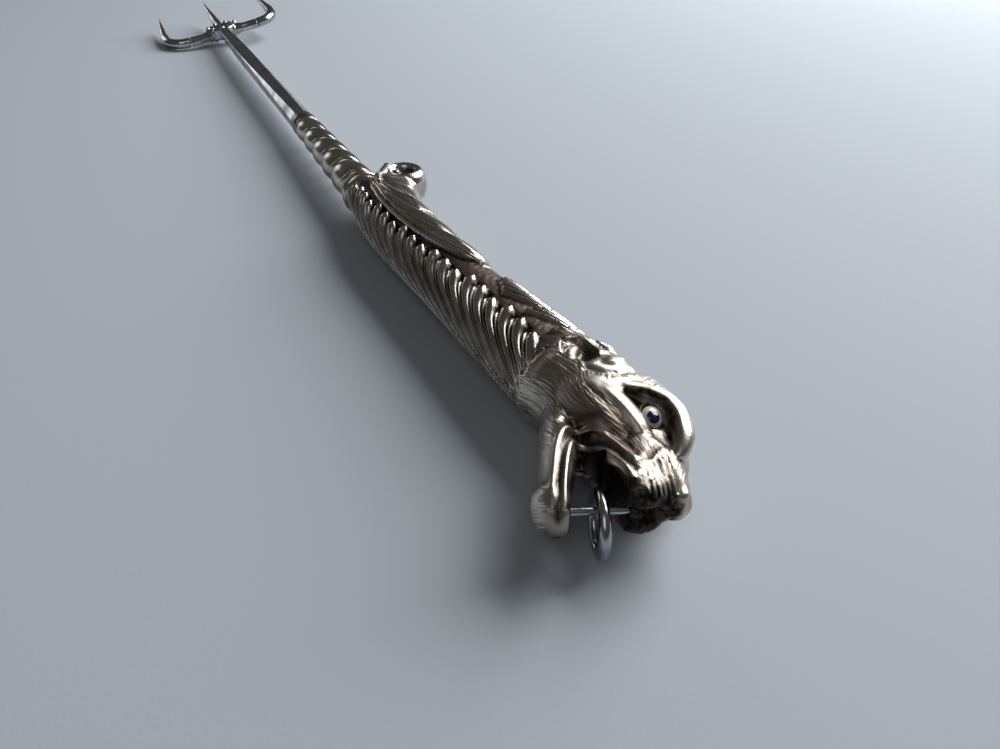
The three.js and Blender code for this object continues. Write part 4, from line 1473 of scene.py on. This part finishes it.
    def eyes(self) -> None:
        """Makes both glass eyes, which look where the head looks, and the thin bezels round them."""
        for side in Side:
            flip = Vector((1, 1, side.value))
            look, gaze = ((Vector(aim) * flip).normalized() for aim in (self.look, self.gaze))
            seat = self.spot(*self.eye) * flip
            turn = Matrix.Translation(seat) @ turn_to(Vector((0, 1, 0)), look)
            bezel = turned([(2.2, 0.0), (2.75, 0.0), (2.8, 1.2), (2.65, 1.6), (2.45, 1.7), (2.25, 1.5)], 48)
            bezel.data.transform(turn)
            paint(bezel, "hollow", 0.72)
            name = side.name.lower()
            self.bench.hand_over(bezel, f"eye_rim_{name}", Slot.GRIP, f"eye_bezel_{name}")
            rise = np.linspace(0.0, 1.0, 13)
            dome_line = [(2.05 * math.cos(1.5 * r), 1.35 + 1.35 * math.sin(1.5 * r)) for r in rise]
            glass = turned([(0.0, 0.0), (2.0, 0.0), *dome_line, (0.0, 2.71)], 48)
            glass.data.transform(turn)
            ray = points_of(glass) - np.array(seat + look * 0.9)
            ahead = ray @ np.array(gaze)
            across = np.linalg.norm(ray - ahead[:, None] * np.array(gaze), axis=1)
            paint(glass, "ring", np.where(ahead > 0, across, self.eye_radius))
            self.bench.hand_over(glass, f"eye_{name}", Slot.EYE, f"glass_eye_{name}")

    def build(self) -> None:
        """Makes the head, parts the jaw from it and sets the eyes."""
        head = self.whole()
        take_up(head)
        bpy.ops.object.duplicate()
        jaw = bpy.context.object
        cut_with(head, self.jaw_region())
        cut_with(jaw, self.jaw_region(), "INTERSECT")
        self.dress(head, "cat_head", "head_casting")
        self.dress(jaw, "cat_jaw", "lower_jaw")
        self.eyes()


# Ring


@dataclass
class HangingRing:
    """The bar between the jaws and the ring that swings on it."""

    bench: Bench
    head: Head
    bar_radius: float = 0.7
    bar_wear: float = 0.12
    ring_radius: float = 4.85
    wire_radius: float = 0.95
    play: float = 0.3

    def build(self) -> None:
        """Makes the bar, a little waisted where it has worn, and the ring with its soldered joint."""
        start, end, middle, run = self.head.bar_ends()
        share = np.linspace(0, 1, 33)
        path = np.array([tuple(start.lerp(end, float(s))) for s in share])
        bar = drawn_bar(path, self.bar_radius * (1 - self.bar_wear * bell(share - 0.5, 0.12)), 6)
        self.bench.hand_over(bar, "mouth_bar", Slot.SHANK, "mouth_pin")
        ring = added(bpy.ops.mesh.primitive_torus_add, major_radius=self.ring_radius, minor_radius=self.wire_radius,
                     major_segments=96, minor_segments=24)
        places = points_of(ring)
        around = np.arctan2(places[:, 1], places[:, 0])
        middle_line = np.column_stack([np.cos(around), np.sin(around), 0 * around]) * self.ring_radius
        seam = 1 + 0.06 * bell(np.abs(around) - 0.5, 0.05) - 0.06 * np.cos(2 * around)
        move_points(ring, middle_line + (places - middle_line) * seam[:, None])
        drop = self.ring_radius - self.wire_radius - self.bar_radius - self.play
        ring.data.transform(Matrix.Translation(middle - Vector((0, 0, drop))) @ turn_to(Vector((0, 0, 1)), run))
        self.bench.hand_over(ring, "swing_ring", Slot.SHANK, "hanging_ring", Body.RING)


# Trident


@dataclass
class Trident:
    """The chamfered shank and its forged end: a pierced hub with beads, stub arms and three tines."""

    bench: Bench
    shank_from: float = 57.7
    shank_to: float = 197.6
    shank_half: tuple[float, float] = (3.6, 2.1)
    chamfer: tuple[float, float] = (2.1, 0.15)
    chamfer_stop: float = 149.7
    edge_sharpness: int = 48
    tang_end: float = -66.0
    tang_radius: float = 2.0
    hub_at: float = 199.1
    hub_half: Place = (6.0, 5.5, 2.5)
    lobes: tuple[Place, ...] = ((4.6, -2.8, 1.3), (6.4, 0.6, 1.4), (4.4, 3.6, 1.2))
    beads: Path2 = ((-4.4, -1.8), (4.4, -1.8), (-2.4, 4.1), (2.4, 4.1), (0.0, -4.0), (-6.2, 0.9), (6.2, 0.9))
    holes: Path2 = ((-3.4, 1.1), (3.4, 1.1), (-2.2, -2.2), (2.2, -2.2))
    hole_radius: float = 0.85
    arm_reach: float = 16.0
    arm_sweep: float = 2.5
    braze_gap: float = 0.15
    spread: float = 25.2
    tine_length: float = 40.0
    centre_length: float = 43.0
    centre_seat: float = 1.8
    tine_rise: float = 5.0

    def shank(self) -> None:
        """Makes the shank: a square bar whose chamfers widen towards the grip, with its edges rubbed round."""
        thick, thin = self.shank_half
        power = self.edge_sharpness

        def shape(along: Array, around: Array) -> Array:
            """Lays the bar's skin: eight facets blended into one another.

            Args:
                along: Share of the length at each point.
                around: Share of the whole turn at each point.

            Returns:
                One row for each point.
            """
            y = self.shank_from + along * (self.shank_to - self.shank_from)
            half = thick - (thick - thin) * along
            chamfer = np.interp(y, [self.shank_from, self.chamfer_stop], self.chamfer)
            angle = 2 * np.pi * around
            reach = np.zeros(len(along))
            for k in range(8):
                distance = half if k % 2 == 0 else (2 * half - chamfer) / math.sqrt(2)
                reach += np.maximum(np.cos(angle - k * math.pi / 4) / distance, 0.0) ** power
            radius = reach ** (-1 / power)
            return np.column_stack([radius * np.cos(angle), y, radius * np.sin(angle)])

        bar = wrapped_grid(90, 160, shape)
        close_up(bar)
        tang = rod(Vector((0, self.tang_end, 0)), Vector((0, self.shank_from + 0.5, 0)), self.tang_radius)
        shank = join([bar, tang])
        shank.data.transform(TRIDENT_ROLL)
        self.bench.hand_over(shank, "square_shank", Slot.SHANK, "shank", smooth=35.0)

    def hub(self) -> None:
        """Makes the hub: a rounded plate, pierced and beaded, with its two stub arms."""
        plate = added(bpy.ops.mesh.primitive_cylinder_add, vertices=48, radius=1.0, depth=2.0)
        plate.data.transform(Matrix.Translation((0, self.hub_at, 0)) @ Matrix.Diagonal((*self.hub_half, 1.0)))
        rework(plate, lambda: bpy.ops.mesh.bevel(offset=0.6, segments=3, affect="EDGES"))
        fuse(plate, 0.3)
        pieces = [plate]
        for sign in SIGNS:
            joint = self.hub_at - self.arm_sweep
            path = spline([(0, self.hub_at, 0), (sign * 7, self.hub_at - 1.6, 0), (sign * 11, joint, 0),
                           (sign * (self.arm_reach - self.braze_gap), joint, 0)], 8)
            radii = np.interp(np.abs(path[:, 0]), [0, 6, 9, 12, self.arm_reach], [2.6, 2.5, 1.9, 2.0, 2.05])
            pieces.append(drawn_bar(path, radii))
            for x, y, size in self.lobes:
                pieces.append(ball((sign * x, self.hub_at + y, 0), (size, size, 2.9), rings=10))
        for x, y in self.beads:
            for sign in SIGNS:
                pieces.append(ball((x, self.hub_at + y, sign * 2.4), (1.0, 1.0, 0.95), rings=8))
        hub = join(pieces)
        fuse(hub, 0.2, 2)
        through = Vector((0, 0, 6))
        for x, y in self.holes:
            at = Vector((x, self.hub_at + y, 0))
            cut_with(hub, rod(at - through, at + through, self.hole_radius))
        hub.data.transform(TRIDENT_ROLL)
        self.bench.stain(hub, 8)
        self.bench.hand_over(hub, "pierced_hub", Slot.SHANK, "fork_hub", material=self.bench.beaded)

    def tine(self, name: str, path: Array, run: Array, girth: Path2) -> None:
        """Makes one tine.

        Args:
            name: Which of the three it is.
            path: Points along its middle.
            run: Share of its length at each point.
            girth: Shares of its length, each with a radius.
        """
        tine = drawn_bar(path, along_path(girth, run))
        tine.data.transform(TRIDENT_ROLL)
        self.bench.hand_over(tine, f"tine_{name}", Slot.SHANK, f"{name}_tine", smooth=50.0)

    def tines(self) -> None:
        """Makes the three tines: thorns, the outer two growing from round crescent arms."""
        start = self.hub_at + self.hub_half[1] - self.centre_seat
        path = spline([(0, start, 0), (0, start + 14, 0.4), (0, start + 30, 2.4),
                       (0, start + self.centre_length, self.tine_rise)], 10)
        self.tine("centre", path, (path[:, 1] - start) / self.centre_length,
                  ((0, 1.9), (0.3, 2.1), (0.5, 1.7), (0.75, 0.9), (1.0, 0.06)))
        joint = self.hub_at - self.arm_sweep
        corners = [(self.arm_reach + self.braze_gap, joint, 0), (20.6, joint + 0.9, 0.25), (24.0, joint + 4.6, 0.6),
                   (self.spread, joint + 10.5, 0.8), (self.spread, joint + 20, 1.6),
                   (self.spread - 1.5, joint + self.tine_length, self.tine_rise)]
        for name, sign in zip(("left", "right"), SIGNS):
            path = spline(corners, 12) * np.array([sign, 1, 1])
            run = np.concatenate([[0], np.cumsum(np.linalg.norm(np.diff(path, axis=0), axis=1))])
            self.tine(name, path, run / run[-1],
                      ((0, 2.05), (0.1, 2.1), (0.3, 2.2), (0.46, 2.1), (0.5, 1.75), (0.75, 1.0), (1.0, 0.06)))

    def build(self) -> None:
        """Makes the shank, the hub and the tines."""
        self.shank()
        self.hub()
        self.tines()


# Studio


@dataclass(frozen=True)
class Lamp:
    """One soft square lamp: where it hangs, what it points at and its side in metres, and its power in watts."""

    name: str
    place: Place
    aim: Place
    size: float
    power: float

    def build(self) -> None:
        """Hangs the lamp."""
        light = bpy.data.lights.new(self.name, "AREA")
        light.size = self.size
        light.energy = self.power
        lamp = link(self.name, light)
        lamp.location = self.place
        lamp.rotation_euler = (Vector(self.aim) - Vector(self.place)).to_track_quat("-Z", "Y").to_euler()


@dataclass
class Studio:
    """A plain pale floor, soft lamps and the camera at the photograph's angle."""

    floor_side: float = 5.0
    world_colour: str = "#9A9896"
    world_strength: float = 0.2
    lamps: tuple[Lamp, ...] = (Lamp("window", (0.82, 0.1, 0.58), (0.0, -0.05, 0.0), 0.85, 17.5),
                               Lamp("fill", (-0.55, -0.65, 0.9), (0.0, -0.05, 0.0), 0.7, 1.2),
                               Lamp("far", (-0.27, 1.0, 0.16), (0.0, 0.08, 0.02), 0.28, 0.3))
    camera_at: Place = (-0.0547, -0.2490, 0.0950)
    forward: Place = (0.3627, 0.7043, -0.6102)
    roll: float = 0.0146
    lens: float = 27.0
    sensor: float = 36.0
    nearest: float = 0.005

    def floor(self) -> None:
        """Lays the floor: a wide plain sheet."""
        sheet = added(bpy.ops.mesh.primitive_plane_add, size=self.floor_side)
        sheet.name = "floor"
        sheet.data.materials.append(MattPaper().build())

    def camera(self) -> None:
        """Sets the camera where the photograph was taken from."""
        ahead = Vector(self.forward).normalized()
        right = ahead.cross(Vector((0, 0, 1))).normalized()
        up = right.cross(ahead)
        tilted_right = (right + self.roll * up).normalized()
        tilted_up = (up - self.roll * right).normalized()
        lens = bpy.data.cameras.new("camera")
        lens.lens = self.lens
        lens.sensor_width = self.sensor
        lens.sensor_fit = "HORIZONTAL"
        lens.clip_start = self.nearest
        camera = link("camera", lens)
        axes = Matrix((tilted_right, tilted_up, -ahead)).transposed().to_4x4()
        camera.matrix_world = Matrix.Translation(self.camera_at) @ axes
        bpy.context.scene.camera = camera

    def build(self) -> None:
        """Sets up the floor, the lamps, the world and the camera."""
        self.floor()
        for lamp in self.lamps:
            lamp.build()
        world = bpy.data.worlds.new("room")
        bpy.context.scene.world = world
        world.use_nodes = True
        backdrop = world.node_tree.nodes["Background"]
        backdrop.inputs["Color"].default_value = linear(self.world_colour)
        backdrop.inputs["Strength"].default_value = self.world_strength
        bpy.context.scene.view_settings.view_transform = "Standard"
        self.camera()


def dress_filler(bench: Bench) -> None:
    """Gives the pitch filler, which keeps its CAD shape, its finish.

    Args:
        bench: Holds the finishes.
    """
    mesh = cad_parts["handle_filler"].data
    mesh.materials.clear()
    mesh.materials.append(bench.finishes[Slot.PITCH])
    log.info("handle_filler: keeps its CAD shape")


def main() -> None:
    """Builds the fork and its studio."""
    logging.basicConfig(level=logging.INFO, format="%(name)s %(message)s")
    bench = Bench(
        {Slot.GRIP: ChasedSilver().build(), Slot.SHANK: PlainSilver().build(), Slot.EYE: EyeGlass().build(),
         Slot.PITCH: HandlePitch().build()},
        ChasedSilver(name="chased_fur_silver_plate", chasing=0.5, bright_roughness=0.3).build(),
        ChasedSilver(name="beaded_silver_plate", bright="#C8CACD", worn="#94979B", oxide_and_shade="#1D1B1B").build())
    Studio().build()
    dress_filler(bench)
    Grip(bench).build()
    head = Head(bench)
    head.build()
    HangingRing(bench, head).build()
    Trident(bench).build()


if __name__ == "__main__":
    main()
